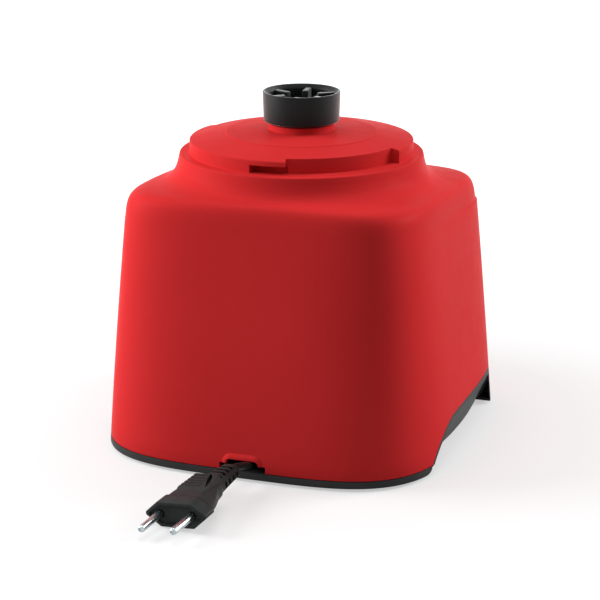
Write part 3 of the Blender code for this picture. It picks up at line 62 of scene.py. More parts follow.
BODY_WIDTH, BODY_DEPTH = 0.200, 0.212
WALL_TAPER = 0.1067
FOOT_SQUARENESS, TOP_SQUARENESS = 3.67, 5.1
WALL_TOP_HEIGHT = 0.1335
SHOULDER_DROP = 0.011
NECK_RADIUS = 0.0685
FLANGE_HEIGHT = 0.1625
SHELL_WALL = 0.0026
FOOT_EDGE, NECK_CORNER, TOP_ROUNDING = 0.0004, 0.0008, 0.0007
DRIVE_SETBACK = 0.0077
SHOULDER_STATIONS = (
    (0.0, 1.0, 1.0), (0.22, 0.975, 1.0), (0.39, 0.93, 1.0), (0.50, 0.84, 1.0), (0.556, 0.68, 1.0),
    (0.585, 0.48, 0.9), (0.63, 0.27, 0.7), (0.72, 0.12, 0.4), (0.85, 0.04, 0.1), (1.0, 0.0, 0.0),
)

COLLAR_RADIUS, COLLAR_HEIGHT, COLLAR_WALL = 0.0628, 0.0073, 0.0030
DOME_RING_RADIUS, DOME_RING_RISE = 0.0427, 0.0041
DOME_STEP = 0.0004
BOSS_RADIUS, BOSS_FOOT_RISE, BOSS_HEIGHT = 0.0184, 0.0054, 0.0036
BAYONET_DEPTH, BAYONET_FLOOR, LUG_SLOT_HEIGHT = 0.0048, 0.00015, 0.0044
RECESS_START, RECESS_END = math.radians(-79.0), math.radians(-12.8)
LUG_SLOT_START = math.radians(-97.2)
CUT_OVERLAP = math.radians(1.0)
SEAL_OUTER_RADIUS = 0.0092
SLOT_WALL = 0.0008
RIM_HEIGHT = FLANGE_HEIGHT + COLLAR_HEIGHT
BOSS_TOP = RIM_HEIGHT + BOSS_FOOT_RISE + BOSS_HEIGHT
COLLAR_BORE = COLLAR_RADIUS - BAYONET_DEPTH - COLLAR_WALL

RING_BOTTOM, RING_TOP, TRAY_FLOOR = 0.0015, 0.0055, 0.0025
FLOOR_UNDERSIDE = RING_TOP - TRAY_FLOOR
HOUSING_BOTTOM = RING_TOP + SEAM_GAP
RIM_WIDTH, RIM_EDGE = 0.0042, 0.0006
HUB_RADIUS, HUB_WALL, HUB_TOP = 0.0465, 0.0022, 0.0270
VENT_COUNT, VENT_WIDTH, VENT_INNER_RADIUS, VENT_OUTER_RADIUS = 8, 0.0038, 0.016, 0.040

GRIP_TOP, GRIP_SLOPE, GRIP_WALL = 0.0226, 0.4565, 0.0016
GRIP_FLOOR_X, GRIP_FRONT, GRIP_BACK = 0.0870, 0.0593, -0.0637
GRIP_SWEEP, GRIP_SWEEP_POWER = 0.0400, 0.75
GRIP_BOW, GRIP_BOW_MIDDLE, GRIP_BOW_REACH = 0.0024, 0.0180, 0.0430
OUTLET_MARGIN, OUTLET_BLUNTNESS, OUTLET_ROUNDING = 0.0012, 0.12, 0.0010
DUCT_WALL, DUCT_DEPTH = 0.0005, 0.0120
DUCT_ROOM_INSET, DUCT_INSET, DUCT_HOLLOW_INSET = 0.0002, 0.0004, 0.0009
RIM_END_REACH = 0.0085

NOTCH_WIDTH, NOTCH_STEP_HEIGHT = 0.0266, 0.0094
NOTCH_ARCH_WIDTH, NOTCH_HEIGHT, NOTCH_CORNER = 0.0184, 0.0121, 0.0022
BROW_WIDTH, BROW_RISE, BROW_BITE = 0.0030, 0.0014, 0.0010
# Section of the brow: reach out from the notch, and share of BROW_RISE; -BROW_BITE is inside the wall.
BROW_SECTION = ((-0.0006, -BROW_BITE), (-0.0006, 0.55), (0.0002, 0.95), (0.0009, 1.0),
                (0.0018, 0.72), (0.0026, 0.30), (BROW_WIDTH, 0.02), (BROW_WIDTH, -BROW_BITE))

PANEL_WIDTH, PANEL_HEIGHT, PANEL_CENTRE, PANEL_CORNER = 0.118, 0.060, 0.076, 0.024
PANEL_WALL = 0.0030
WELL_RADIUS, WELL_DEPTH = 0.0255, 0.0050
KNOB_RADIUS, KNOB_HEIGHT, KNOB_SKIRT = 0.0215, 0.0102, 0.0028
KNOB_GRIP_WIDTH, KNOB_GRIP_REACH = 0.0075, 0.0185
FLUTE_COUNT, FLUTE_RADIUS, FLUTE_OUTSET = 24, 0.0009, 0.0005
DIAL_PULSE_ANGLE, DIAL_SPEED_STEP, DIAL_TOP_SPEED = -45.0, 24.0, 5
DIAL_TEXT_SIZE, DIAL_TEXT_RADIUS, DIAL_TICK_RADIUS, INK_RELIEF = 0.0062, 0.0345, 0.0290, 0.00010
SWITCH_SHAFT_RADIUS = 0.0030
RUNNING_GAP = 0.0006

COUPLING_RADIUS, COUPLING_TAPER, COUPLING_HEIGHT = 0.0217, 0.0005, 0.0166
COUPLING_WALL, COUPLING_FLOOR = 0.0026, 0.0040
COUPLING_HUB_RADIUS, COUPLING_HUB_HEIGHT = 0.0078, 0.0042
COUPLING_BASE = BOSS_TOP + 2 * RUNNING_GAP
TOOTH_COUNT, TOOTH_WIDTH, TOOTH_REACH, TOOTH_DROP = 6, 0.0034, 0.0096, 0.0020
TOOTH_PHASE = math.radians(37.5)
INSERT_RADIUS = 0.0056
RIM_CHAMFER, RIM_LAND = 0.0022, 0.0011

BASE_SCREW_X, BASE_SCREW_Y, BASE_SCREW_HEAD_BOTTOM = 0.0600, 0.0840, 0.0008
BASE_POST_RADIUS, BASE_POST_TOP = 0.0050, 0.0550
BASE_RIB_WIDTH, BASE_RIB_BOTTOM, RIB_BITE = 0.0030, 0.0330, 0.0009
BASE_SCREW_LENGTH = 0.0170
SCREW_RADIUS, SCREW_HEAD_RADIUS = 0.0018, 0.0038
MOUNT_SPREAD, POST_RADIUS, POST_BOTTOM = 0.0424, 0.0055, 0.1560
FOOT_X, FOOT_Y, FOOT_RADIUS, FOOT_STUD_RADIUS, FOOT_BULB_RADIUS = 0.0700, 0.0660, 0.0090, 0.0025, 0.0034
CLAMP_SCREW_RADIUS = 0.0014
SPRING_WIRE, SPRING_RADIUS, SPRING_TURNS, SPRING_STEPS, SPRING_SIDES = 0.0003, 0.0022, 5, 24, 8

CORD_RADIUS = 0.0020
WINDING_START_RADIUS, WINDING_PITCH, WINDING_TURNS = 0.0520, 0.0058, 2.6
WINDING_END_ANGLE = math.radians(235.0)
CORD_ROUTE = (
    (-0.0248, -0.0722, 0.0078), (-0.0130, -0.0800, 0.0079), (-0.0026, -0.0884, 0.0083),
    (0.0030, -0.0966, 0.0089), (0.0042, -0.1050, 0.0100), (0.0032, -0.1130, 0.0120),
)
PLUG_FACE = (-0.0079, -0.1800, 0.0085)
PLUG_YAW, PLUG_PITCH, PLUG_ROLL = math.radians(-98.3), math.radians(4.2), math.radians(7.0)
PLUG_HALF_WIDTH, PLUG_HALF_HEIGHT, PLUG_LENGTH = 0.0180, 0.0070, 0.0580
PLUG_SECTIONS = (
    (0.0, 1.0, 1.0, 0.55, 0.12), (0.155, 0.985, 1.0, 0.55, 0.12), (0.170, 0.97, 0.97, 0.55, 0.14),
    (0.185, 0.89, 0.91, 0.57, 0.18), (0.27, 0.815, 0.93, 0.60, 0.25), (0.36, 0.70, 0.96, 0.62, 0.32),
    (0.45, 0.57, 0.96, 0.62, 0.40), (0.52, 0.47, 0.95, 0.62, 0.48), (0.60, 0.43, 0.93, 0.62, 0.50),
    (0.635, 0.375, 0.86, 0.60, 0.50), (0.66, 0.345, 0.80, 0.58, 0.50), (1.0, 0.29, 0.56, 0.58, 0.50),
)
PIN_RADIUS, PIN_LENGTH, PIN_SEAT, PIN_PITCH = 0.0020, 0.0190, 0.0055, 0.0190
GROOVE_COUNT, GROOVE_START, GROOVE_PITCH, GROOVE_HALF_WIDTH = 5, -0.0218, 0.0028, 0.00045
RELIEF_SLOT_COUNT, RELIEF_SLOT_START, RELIEF_SLOT_PITCH = 4, -0.0400, 0.0043

AXIS = (0.0, -DRIVE_SETBACK)
WALL_SEGMENTS = 240
WALL_ANGLES = np.arange(WALL_SEGMENTS) * math.tau / WALL_SEGMENTS


# ================================================================ camera and lamps
def add_camera():
    """Long lens, behind the back right corner and a little above, as the photograph was taken."""
    lens = bpy.data.cameras.new("camera")
    lens.lens = 121.55
    lens.sensor_width = 36.0
    lens.clip_start, lens.clip_end = 0.05, 20.0
    camera = bpy.data.objects.new("camera", lens)
    bpy.context.scene.collection.objects.link(camera)
    place, target = Vector((0.3671, -1.0596, 0.4118)), Vector((-0.0008, -0.0080, 0.0746))
    camera.location = place
    camera.rotation_euler = (target - place).to_track_quat("-Z", "Y").to_euler()
    bpy.context.scene.camera = camera


def add_lamp(name, place, target, width, height, power):
    """Soft box: a rectangle of light that faces a point."""
    lamp = bpy.data.lights.new(name, "AREA")
    lamp.shape = "RECTANGLE"
    lamp.size, lamp.size_y = width, height
    lamp.energy = power
    item = bpy.data.objects.new(name, lamp)
    bpy.context.scene.collection.objects.link(item)
    item.location = place
    item.rotation_euler = (Vector(target) - Vector(place)).to_track_quat("-Z", "Y").to_euler()


# ================================================================ materials
PATTERN_LOW, PATTERN_HIGH = 0.3, 0.7    # between these a noise holds nearly all of its spots


def colour(code):
    """sRGB hex to the linear colour that a shader takes."""
    shares = [int(code[i:i + 2], 16) / 255 for i in (1, 3, 5)]
    return tuple(s / 12.92 if s <= 0.04045 else ((s + 0.055) / 1.055) ** 2.4 for s in shares) + (1.0,)


def add_node(tree, kind, values=None, links=None, **settings):
    """Node with its settings, socket values and incoming links."""
    node = tree.nodes.new(kind)
    for name, value in settings.items():
        setattr(node, name, value)
    for key, value in (values or {}).items():
        node.inputs[key].default_value = value
    for key, source in (links or {}).items():
        tree.links.new(source, node.inputs[key])
    return node


def start_material(name, base, roughness, metallic=0.0, ior=1.5, specular=0.5):
    """Material with its base values set; gives it, its tree, its shader and Object coordinates."""
    material = bpy.data.materials.new(name)
    material.use_nodes = True
    tree = material.node_tree
    shader = tree.nodes["Principled BSDF"]
    shader.inputs["Base Color"].default_value = colour(base)
    shader.inputs["Roughness"].default_value = roughness
    shader.inputs["Metallic"].default_value = metallic
    shader.inputs["IOR"].default_value = ior
    shader.inputs["Specular IOR Level"].default_value = specular
    coords = add_node(tree, "ShaderNodeTexCoord")
    return material, tree, shader, coords.outputs["Object"]


def noise(tree, coords, size, detail=2.0, stretch=(1.0, 1.0, 1.0)):
    """Noise whose spots are about this many metres across, stretched along the axes."""
    mapping = add_node(tree, "ShaderNodeMapping", {"Scale": tuple(1.0 / (size * s) for s in stretch)},
                       {"Vector": coords})
    return add_node(tree, "ShaderNodeTexNoise", {"Scale": 1.0, "Detail": detail},
                    {"Vector": mapping.outputs["Vector"]}).outputs["Fac"]


def tint(tree, shader, source, dark, light):
    """Colour that wanders between two near shades with a pattern."""
    ramp = add_node(tree, "ShaderNodeValToRGB", links={"Fac": source})
    ramp.color_ramp.elements[0].position, ramp.color_ramp.elements[0].color = PATTERN_LOW, colour(dark)
    ramp.color_ramp.elements[1].position, ramp.color_ramp.elements[1].color = PATTERN_HIGH, colour(light)
    tree.links.new(ramp.outputs["Color"], shader.inputs["Base Color"])


def vary_roughness(tree, shader, source, low, high):
    """Gloss that wanders between two roughnesses with a pattern."""
    spread = add_node(tree, "ShaderNodeMapRange",
                      {"From Min": PATTERN_LOW, "From Max": PATTERN_HIGH, "To Min": low, "To Max": high},
                      {"Value": source})
    tree.links.new(spread.outputs["Result"], shader.inputs["Roughness"])


def raise_surface(tree, shader, source, depth, strength=1.0, edge=0.0):
    """Relief of a real depth in metres, over edges softened to a radius if asked."""
    links = {"Height": source}
    if edge > 0.0:
        soft = add_node(tree, "ShaderNodeBevel", {"Radius": edge}, samples=6)
        links["Normal"] = soft.outputs["Normal"]
    bump = add_node(tree, "ShaderNodeBump", {"Strength": strength, "Distance": depth}, links)
    tree.links.new(bump.outputs["Normal"], shader.inputs["Normal"])


def gloss_red_abs():
    """Moulded ABS, coloured through: deep red with a soft satin gloss and a faint orange peel."""
    material, tree, shader, coords = start_material("moulded red ABS", "#D43031", 0.38, ior=1.52, specular=0.006)
    cloud = noise(tree, coords, 0.055, 3.0)              # slow flow marks of the moulding
    tint(tree, shader, cloud, "#D22F30", "#D63133")
    scuffs = noise(tree, coords, 0.009, 4.0)              # faint handling marks
    vary_roughness(tree, shader, scuffs, 0.34, 0.43)
    peel = noise(tree, coords, 0.0022, 2.0)              # orange peel, about 2 mm across
    raise_surface(tree, shader, peel, 0.00002, 0.35, 0.00045)
    return material


def sparked_charcoal_abs():
    """Moulded ABS with a spark-eroded grain: dark grey, dull, lighter where it faces the light."""
    material, tree, shader, coords = start_material("spark grained charcoal ABS", "#353636", 0.52,
                                                    ior=1.52, specular=0.12)
    cloud = noise(tree, coords, 0.02, 3.0)
    tint(tree, shader, cloud, "#323333", "#393A3A")
    grain = noise(tree, coords, 0.0007, 3.0)             # real grain is 0.2 mm; drawn at 0.7 mm to show
    vary_roughness(tree, shader, grain, 0.46, 0.60)
    raise_surface(tree, shader, grain, 0.00006, 0.5, 0.0004)
    return material


def glass_filled_nylon():
    """Black nylon with glass fibre: nearly black, satin, with fine fibre streaks."""
    material, tree, shader, coords = start_material("black glass filled nylon", "#0D1010", 0.40,
                                                    ior=1.53, specular=0.12)
    shader.inputs["Sheen Weight"].default_value = 1.0    # the moulded grain scatters light at its flanks
    shader.inputs["Sheen Roughness"].default_value = 0.35
    streaks = noise(tree, coords, 0.0011, 4.0, (1.0, 1.0, 5.0))    # fibres lie along the flow, upwards
    tint(tree, shader, streaks, "#0B0E0E", "#111414")
    vary_roughness(tree, shader, streaks, 0.36, 0.47)
    raise_surface(tree, shader, streaks, 0.00004, 0.4, 0.0003)
    return material


def waxy_black_plastic(name, base, light, roughness, edge):
    """Soft PVC or moulded phenolic: black with a slight waxy shine, small moulding ripples and painted shade
    darkening its slots and grooves.
    """
    material, tree, shader, coords = start_material(name, base, roughness, ior=1.53, specular=0.1)
    ripple = noise(tree, coords, 0.0035, 3.0)
    tint(tree, shader, ripple, base, light)
    shade = shader.inputs["Base Color"].links[0].from_socket
    painted_crevice_shade = add_node(tree, "ShaderNodeAmbientOcclusion", {"Distance": 0.004}, {"Color": shade}, samples=8)
    tree.links.new(painted_crevice_shade.outputs["Color"], shader.inputs["Base Color"])    # painted shade: ambient occlusion darkens the base colour so slots and grooves stay deep black
    dust = noise(tree, coords, 0.0006, 2.0)              # handling marks, drawn at 0.6 mm
    vary_roughness(tree, shader, dust, roughness - 0.05, roughness + 0.08)
    raise_surface(tree, shader, ripple, 0.00005, 0.5, edge)
    return material


def black_rubber():
    """Moulded rubber: flat black with a dusty bloom."""
    material, tree, shader, coords = start_material("moulded black rubber", "#232323", 0.82, ior=1.52)
    bloom = noise(tree, coords, 0.003, 4.0)
    tint(tree, shader, bloom, "#1F1F1F", "#2B2B2A")
    grain = noise(tree, coords, 0.0006, 2.0)
    raise_surface(tree, shader, grain, 0.00005, 0.5, 0.0003)
    return material


def grained_solid(name, dark, light, low, high, size, stretch=(1.0, 1.0, 1.0),
                  metallic=0.0, relief=0.00003, strength=0.5):
    """Solid, such as carbon, nylon or ink, whose shade, gloss and relief follow one fine grain."""
    material, tree, shader, coords = start_material(name, light, (low + high) / 2, metallic=metallic)
    pattern = noise(tree, coords, size, 4.0, stretch)
    tint(tree, shader, pattern, dark, light)
    vary_roughness(tree, shader, pattern, low, high)
    raise_surface(tree, shader, pattern, relief, strength, 0.0002)
    return material


def worked_metal(name, dark, light, low, high, size, stretch=(1.0, 1.0, 1.0)):
    """Drawn, ground, brushed or plated metal, whose marks are shallower than a grain."""
    return grained_solid(name, dark, light, low, high, size, stretch, 1.0, 0.00001, 0.4)


def layered_metal(name, dark, light, low, high, layer):
    """Stack of thin sheets or bars: fine level lines a layer apart, real 0.5 mm drawn wider."""
    material, tree, shader, coords = start_material(name, light, (low + high) / 2, metallic=1.0)
    mapping = add_node(tree, "ShaderNodeMapping", {"Scale": (0.0, 0.0, 1.0 / layer)}, {"Vector": coords})
    wave = add_node(tree, "ShaderNodeTexWave", {"Scale": 0.314, "Distortion": 0.3},
                    {"Vector": mapping.outputs["Vector"]}, bands_direction="Z").outputs["Fac"]
    tint(tree, shader, wave, dark, light)
    vary_roughness(tree, shader, wave, low, high)
    raise_surface(tree, shader, wave, 0.00008, 0.6)
    return material


RED_ABS = gloss_red_abs()
CHARCOAL_ABS = sparked_charcoal_abs()
NYLON_BLACK = glass_filled_nylon()
PLUG_PVC = waxy_black_plastic("moulded black PVC", "#2B2E2E", "#323535", 0.46, 0.0005)
FLEX_PVC = waxy_black_plastic("extruded black PVC", "#212323", "#292B2B", 0.40, 0.0)
SWITCH_PLASTIC = waxy_black_plastic("black phenolic", "#1C1C1C", "#242322", 0.42, 0.0002)
RUBBER = black_rubber()
# Nickel on brass pins: pale and bright, blurred a little, with faint drawing lines along the pin.
NICKEL = worked_metal("nickel plated brass", "#9BA5A7", "#CBD5D7", 0.20, 0.36, 0.0009, (1.0, 8.0, 1.0))
# Turned and ground steel: bright, with fine rings round the shaft.
GROUND_STEEL = worked_metal("ground steel", "#8F9194", "#B4B5B7", 0.22, 0.34, 0.0006, (6.0, 6.0, 1.0))
# Zinc plate on pressed steel: pale grey, slightly cloudy.
ZINC_PLATE = worked_metal("zinc plated steel", "#9A9DA0", "#B9BBBC", 0.32, 0.46, 0.004)
# Stamped silicon steel sheets: dark grey with level sheet lines.
LAMINATIONS = layered_metal("laminated silicon steel", "#4A4B4D", "#77787A", 0.45, 0.62, 0.0010)
# Enamelled copper wire: warm brown-orange with the lines of its turns.
MAGNET_WIRE = layered_metal("enamelled copper wire", "#7A3416", "#B5622F", 0.30, 0.44, 0.0009)
# Commutator bars: bright copper, brushed round by the carbons.
COPPER_BARS = worked_metal("brushed copper bars", "#A8623C", "#C98258", 0.28, 0.42, 0.0012, (5.0, 5.0, 1.0))
# Pressed carbon: near black and fine grained.
CARBON = grained_solid("pressed carbon", "#262627", "#35363A", 0.55, 0.72, 0.0008)
# Natural nylon: milky white, waxy.
WHITE_NYLON = grained_solid("natural nylon", "#CFCBBE", "#DEDACD", 0.42, 0.55, 0.006)
# Pad-printed white ink on the dial.
WHITE_INK = grained_solid("white pad printing ink", "#DADAD6", "#ECECE8", 0.50, 0.62, 0.0008)


# ================================================================ modelling helpers
def deselect():
    """Object mode with nothing selected."""
    if bpy.context.object and bpy.context.object.mode != "OBJECT":
        bpy.ops.object.mode_set(mode="OBJECT")
    bpy.ops.object.select_all(action="DESELECT")


def make_active(item):
    """Only this piece selected, and active."""
    deselect()
    item.select_set(True)
    bpy.context.view_layer.objects.active = item


def primitive(kind, name, **settings):
    """Mesh primitive added at its size and place, with its place moved into the mesh."""
    deselect()
    getattr(bpy.ops.mesh, f"primitive_{kind}_add")(**settings)
    item = bpy.context.object
    item.name = item.data.name = name
    bpy.ops.object.transform_apply(location=True, rotation=True, scale=True)
    return item


def soften(profile, radius, steps=4, closed=False):
    """Profile with each corner rounded by about this radius."""
    result = []
    for i, point in enumerate(profile):
        corner = Vector(point)
        if not closed and i in (0, len(profile) - 1):
            result.append(tuple(corner))
            continue
        before = Vector(profile[i - 1]) - corner
        after = Vector(profile[(i + 1) % len(profile)]) - corner
        reach = min(radius, 0.45 * before.length, 0.45 * after.length)
        start, end = corner + before.normalized() * reach, corner + after.normalized() * reach
        for k in range(steps + 1):
            t = k / steps
            result.append(tuple(start * (1 - t) ** 2 + corner * 2 * t * (1 - t) + end * t * t))
    return result


def turned(name, profile, sides=96, centre=AXIS, ring=False):
    """Circle drawn along (radius, height) points by extruding and scaling its edge."""
    radius, height = profile[0]
    item = primitive("circle", name, vertices=sides, radius=radius, location=(*centre, height))
    bpy.ops.object.mode_set(mode="EDIT")
    bpy.ops.mesh.select_all(action="SELECT")
    for next_radius, next_height in profile[1:]:
        bpy.ops.mesh.extrude_edges_move(
            TRANSFORM_OT_translate={"value": (0.0, 0.0, next_height - height)})
        share = next_radius / radius
        bpy.ops.transform.resize(value=(share, share, 1.0), center_override=(*centre, next_height))
        radius, height = next_radius, next_height
    bpy.ops.mesh.select_all(action="DESELECT")
    bpy.ops.mesh.select_non_manifold()
    if ring:
        bpy.ops.mesh.bridge_edge_loops()
    else:
        bpy.ops.mesh.fill_holes(sides=0)
    bpy.ops.mesh.select_all(action="SELECT")
    bpy.ops.mesh.remove_doubles(threshold=0.000005)
    bpy.ops.mesh.normals_make_consistent(inside=False)
    bpy.ops.object.mode_set(mode="OBJECT")
    return item


def block(name, low, high, edge=0.0, segments=3):
    """Cube drawn to two corners, with all its edges bevelled if asked."""
    low, high = Vector(low), Vector(high)
    item = primitive("cube", name, size=1.0, location=(low + high) / 2, scale=high - low)
    if edge > 0.0:
        bpy.ops.object.mode_set(mode="EDIT")
        bpy.ops.mesh.select_all(action="SELECT")
        bpy.ops.mesh.bevel(offset=edge, segments=segments, affect="EDGES")
        bpy.ops.object.mode_set(mode="OBJECT")
    return item


def skin(name, rings, closed=False, caps=False):
    """Skin over rings of equally many points, for shapes that no primitive comes near."""
    bm = bmesh.new()
    rows = [[bm.verts.new(point) for point in ring] for ring in rings]
    count = len(rows[0])
    pairs = list(zip(rows, rows[1:])) + ([(rows[-1], rows[0])] if closed else [])
    for lower, upper in pairs:
        for i in range(count):
            j = (i + 1) % count
            bm.faces.new((lower[i], lower[j], upper[j], upper[i]))
    if caps:
        bm.faces.new(reversed(rows[0]))
        bm.faces.new(rows[-1])
    bmesh.ops.recalc_face_normals(bm, faces=bm.faces)
    mesh = bpy.data.meshes.new(name)
    bm.to_mesh(mesh)
    bm.free()
    item = bpy.data.objects.new(name, mesh)
    bpy.context.scene.collection.objects.link(item)
    return item


def combine(item, other, operation="DIFFERENCE"):
    """Cuts a piece with another, or joins the other to it, and uses the other up."""
    step = item.modifiers.new(operation.lower(), "BOOLEAN")
    step.operation = operation
    step.object = other
    step.solver = "EXACT"
    make_active(item)
    bpy.ops.object.modifier_apply(modifier=step.name)
    bpy.data.objects.remove(other, do_unlink=True)
    return item


def gather(name, items):
    """Joins pieces that don't touch into one mesh."""
    deselect()
    for item in items:
        item.select_set(True)
    bpy.context.view_layer.objects.active = items[0]
    bpy.ops.object.join()
    items[0].name = items[0].data.name = name
    return items[0]


def copied(item, name, matrix):
    """Copy with a mesh of its own, set in place."""
    twin = item.copy()
    twin.data = item.data.copy()
    twin.name = twin.data.name = name
    bpy.context.scene.collection.objects.link(twin)
    twin.data.transform(matrix)
    return twin


def dress(item, material, body, nodes, angle=32.0):
    """Gives a finished piece its material and body, hides its CAD nodes, and smooths its curves."""
    item.data.materials.clear()
    item.data.materials.append(material)
    make_active(item)
    bpy.ops.object.shade_smooth_by_angle(angle=math.radians(angle))
    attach(item, body)
    if nodes:
        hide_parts(*nodes)
    return item


# ================================================================ shape of the wall
def wall_reach(heights, angles=WALL_ANGLES):
    """Distance from the drive axis to the outside of the wall, at each angle and height."""
    heights = np.minimum(np.broadcast_to(heights, angles.shape), WALL_TOP_HEIGHT)
    lean = WALL_TAPER * (heights - RING_BOTTOM)
    half_x, half_y = BODY_WIDTH / 2 - lean, BODY_DEPTH / 2 - lean
    power = FOOT_SQUARENESS + (TOP_SQUARENESS - FOOT_SQUARENESS) * np.clip(heights / WALL_TOP_HEIGHT, 0, 1)
    near, far = np.zeros(angles.shape), np.full(angles.shape, BODY_WIDTH)
    for _ in range(40):
        middle = (near + far) / 2
        x, y = middle * np.cos(angles), middle * np.sin(angles) - DRIVE_SETBACK
        inside = np.abs(x / half_x) ** power + np.abs(y / half_y) ** power < 1.0
        near, far = np.where(inside, middle, near), np.where(inside, far, middle)
    return near


def wall_across(place, height, along, across):
    """Half the wall's size in one direction, at a place in the other and a height."""
    lean = WALL_TAPER * (height - RING_BOTTOM)
    power = FOOT_SQUARENESS + (TOP_SQUARENESS - FOOT_SQUARENESS) * min(1.0, height / WALL_TOP_HEIGHT)
    share = 1.0 - abs(place / (along / 2 - lean)) ** power
    return (across / 2 - lean) * share ** (1.0 / power)


def wall_depth(x, height):
    """How far the wall stands before or behind the middle at a place across and a height."""
    return wall_across(x, height, BODY_WIDTH, BODY_DEPTH)


def wall_half_width(y, height):
    """How far the wall stands to the side of the middle at a place along and a height."""
    return wall_across(y, height, BODY_DEPTH, BODY_WIDTH)


def front_share(y):
    """0 at the back of the wall's top to 1 at its front, along which the shoulder drops."""
    reach = BODY_DEPTH / 2 - WALL_TAPER * WALL_TOP_HEIGHT
    return np.clip((y + reach) / (2 * reach), 0.0, 1.0)


def ring_of(reaches, heights):
    """Ring of points round the drive axis, at these distances and heights."""
    heights = np.broadcast_to(heights, WALL_ANGLES.shape)
    reaches = np.broadcast_to(reaches, WALL_ANGLES.shape)
    x = reaches * np.cos(WALL_ANGLES)
    y = reaches * np.sin(WALL_ANGLES) - DRIVE_SETBACK
    return [tuple(p) for p in np.stack([x, y, heights], axis=1)]


def wall_ring(height, inset=0.0, drop=0.0):
    """Ring on the wall, set in by inset and lowered towards the front by a share of the drop."""
    y = wall_reach(height) * np.sin(WALL_ANGLES) - DRIVE_SETBACK
    level = height - SHOULDER_DROP * drop * front_share(y)
    return ring_of(wall_reach(level) - inset, level)


def shoulder_ring(share, blend, drop, inset=0.0, sink=0.0):
    """Ring between wall and neck: share of the height, blend from round neck (0) to wall (1)."""
    level = WALL_TOP_HEIGHT + (FLANGE_HEIGHT - WALL_TOP_HEIGHT) * share
    reach = NECK_RADIUS + (wall_reach(level) - NECK_RADIUS) * blend
    y = reach * np.sin(WALL_ANGLES) - DRIVE_SETBACK
    return ring_of(reach - inset, level - SHOULDER_DROP * drop * front_share(y) - sink)


def polar(angle, radius, height):
    """Point at an angle and distance from the drive axis."""
    return (radius * math.cos(angle), radius * math.sin(angle) - DRIVE_SETBACK, height)


def smooth_through(points, steps):
    """Points on a smooth curve through the given ones, steps to each stretch."""
    points = [np.array(p, float) for p in points]
    padded = [2 * points[0] - points[1]] + points + [2 * points[-1] - points[-2]]
    result = []
    for a, b, c, d in zip(padded, padded[1:], padded[2:], padded[3:]):
        for k in range(steps):
            t = k / steps
            result.append(0.5 * (2 * b + (c - a) * t + (2 * a - 5 * b + 4 * c - d) * t ** 2
                                 + (3 * b - a - 3 * c + d) * t ** 3))
    return result + [points[-1]]


# ================================================================ housing
def shell_rows():
    """Rings of the shell, up its outside and down its inside."""
    rows = [wall_ring(HOUSING_BOTTOM, FOOT_EDGE), wall_ring(HOUSING_BOTTOM + FOOT_EDGE * 0.3, FOOT_EDGE * 0.3),
            wall_ring(HOUSING_BOTTOM + FOOT_EDGE)]
    count = 16
    for i in range(1, count + 1):
        share = i / count
        height = HOUSING_BOTTOM + (WALL_TOP_HEIGHT - HOUSING_BOTTOM) * share
        rows.append(wall_ring(height, drop=share ** 3))
    rows += [shoulder_ring(*station) for station in smooth_through(SHOULDER_STATIONS, 5)[1:]
             if station[0] < 0.965]
    for i in range(6):
        turn = math.pi / 2 * i / 5
        rows.append(ring_of(NECK_RADIUS - NECK_CORNER + NECK_CORNER * math.cos(turn),
                            FLANGE_HEIGHT - NECK_CORNER + NECK_CORNER * math.sin(turn)))
    top = soften([(NECK_RADIUS - 2 * NECK_CORNER, FLANGE_HEIGHT), (COLLAR_RADIUS, FLANGE_HEIGHT),
                  (COLLAR_RADIUS, RIM_HEIGHT), (DOME_RING_RADIUS, RIM_HEIGHT + DOME_RING_RISE - DOME_STEP),
                  (DOME_RING_RADIUS - DOME_STEP, RIM_HEIGHT + DOME_RING_RISE),
                  (BOSS_RADIUS, RIM_HEIGHT + BOSS_FOOT_RISE), (BOSS_RADIUS, BOSS_TOP),
                  (SEAL_OUTER_RADIUS + SEAM_GAP, BOSS_TOP)], TOP_ROUNDING)
    rows += [ring_of(radius, height) for radius, height in top]
    under_boss = RIM_HEIGHT + BOSS_FOOT_RISE - SHELL_WALL
    under_dome = RIM_HEIGHT - SHELL_WALL
    for radius, height in ((SEAL_OUTER_RADIUS + SEAM_GAP, under_boss), (BOSS_RADIUS, under_boss),
                           (DOME_RING_RADIUS, RIM_HEIGHT + DOME_RING_RISE - SHELL_WALL),
                           (COLLAR_BORE, under_dome), (COLLAR_BORE, FLANGE_HEIGHT - SHELL_WALL),
                           (NECK_RADIUS - SHELL_WALL, FLANGE_HEIGHT - SHELL_WALL)):
        rows.append(ring_of(radius, height))
    for share, blend, drop in reversed(SHOULDER_STATIONS[1:-1]):
        flat = 1.0 - abs(2 * blend - 1.0)
        rows.append(shoulder_ring(share, blend, drop, SHELL_WALL * (1 - 0.7 * flat),
                                  SHELL_WALL * (0.45 + 0.55 * flat)))
    for height, drop in ((WALL_TOP_HEIGHT, 1.0), (0.090, 0.3), (0.045, 0.0), (HOUSING_BOTTOM, 0.0)):
        rows.append(wall_ring(height, SHELL_WALL, drop))
    return rows


def ring_sector(name, inner, outer, start, end, bottom, top, steps):
    """Block between two radii and two angles round the drive axis."""
    section = ((inner, bottom), (outer, bottom), (outer, top), (inner, top))
    rings = []
    for i in range(steps + 1):
        angle = start + (end - start) * i / steps
        rings.append([polar(angle, radius, height) for radius, height in section])
    return skin(name, rings, caps=True)


def grip_floor(y, z):
    """Inner side of a finger recess: a slope whose foot bows outwards in its middle."""
    bow = max(0.0, 1.0 - ((y - GRIP_BOW_MIDDLE) / GRIP_BOW_REACH) ** 2)
    low = min(1.0, max(0.0, 1.0 - (z - RING_BOTTOM) / (GRIP_TOP - RING_BOTTOM)))
    return GRIP_FLOOR_X + GRIP_SLOPE * (z - RING_BOTTOM) + GRIP_BOW * bow * low


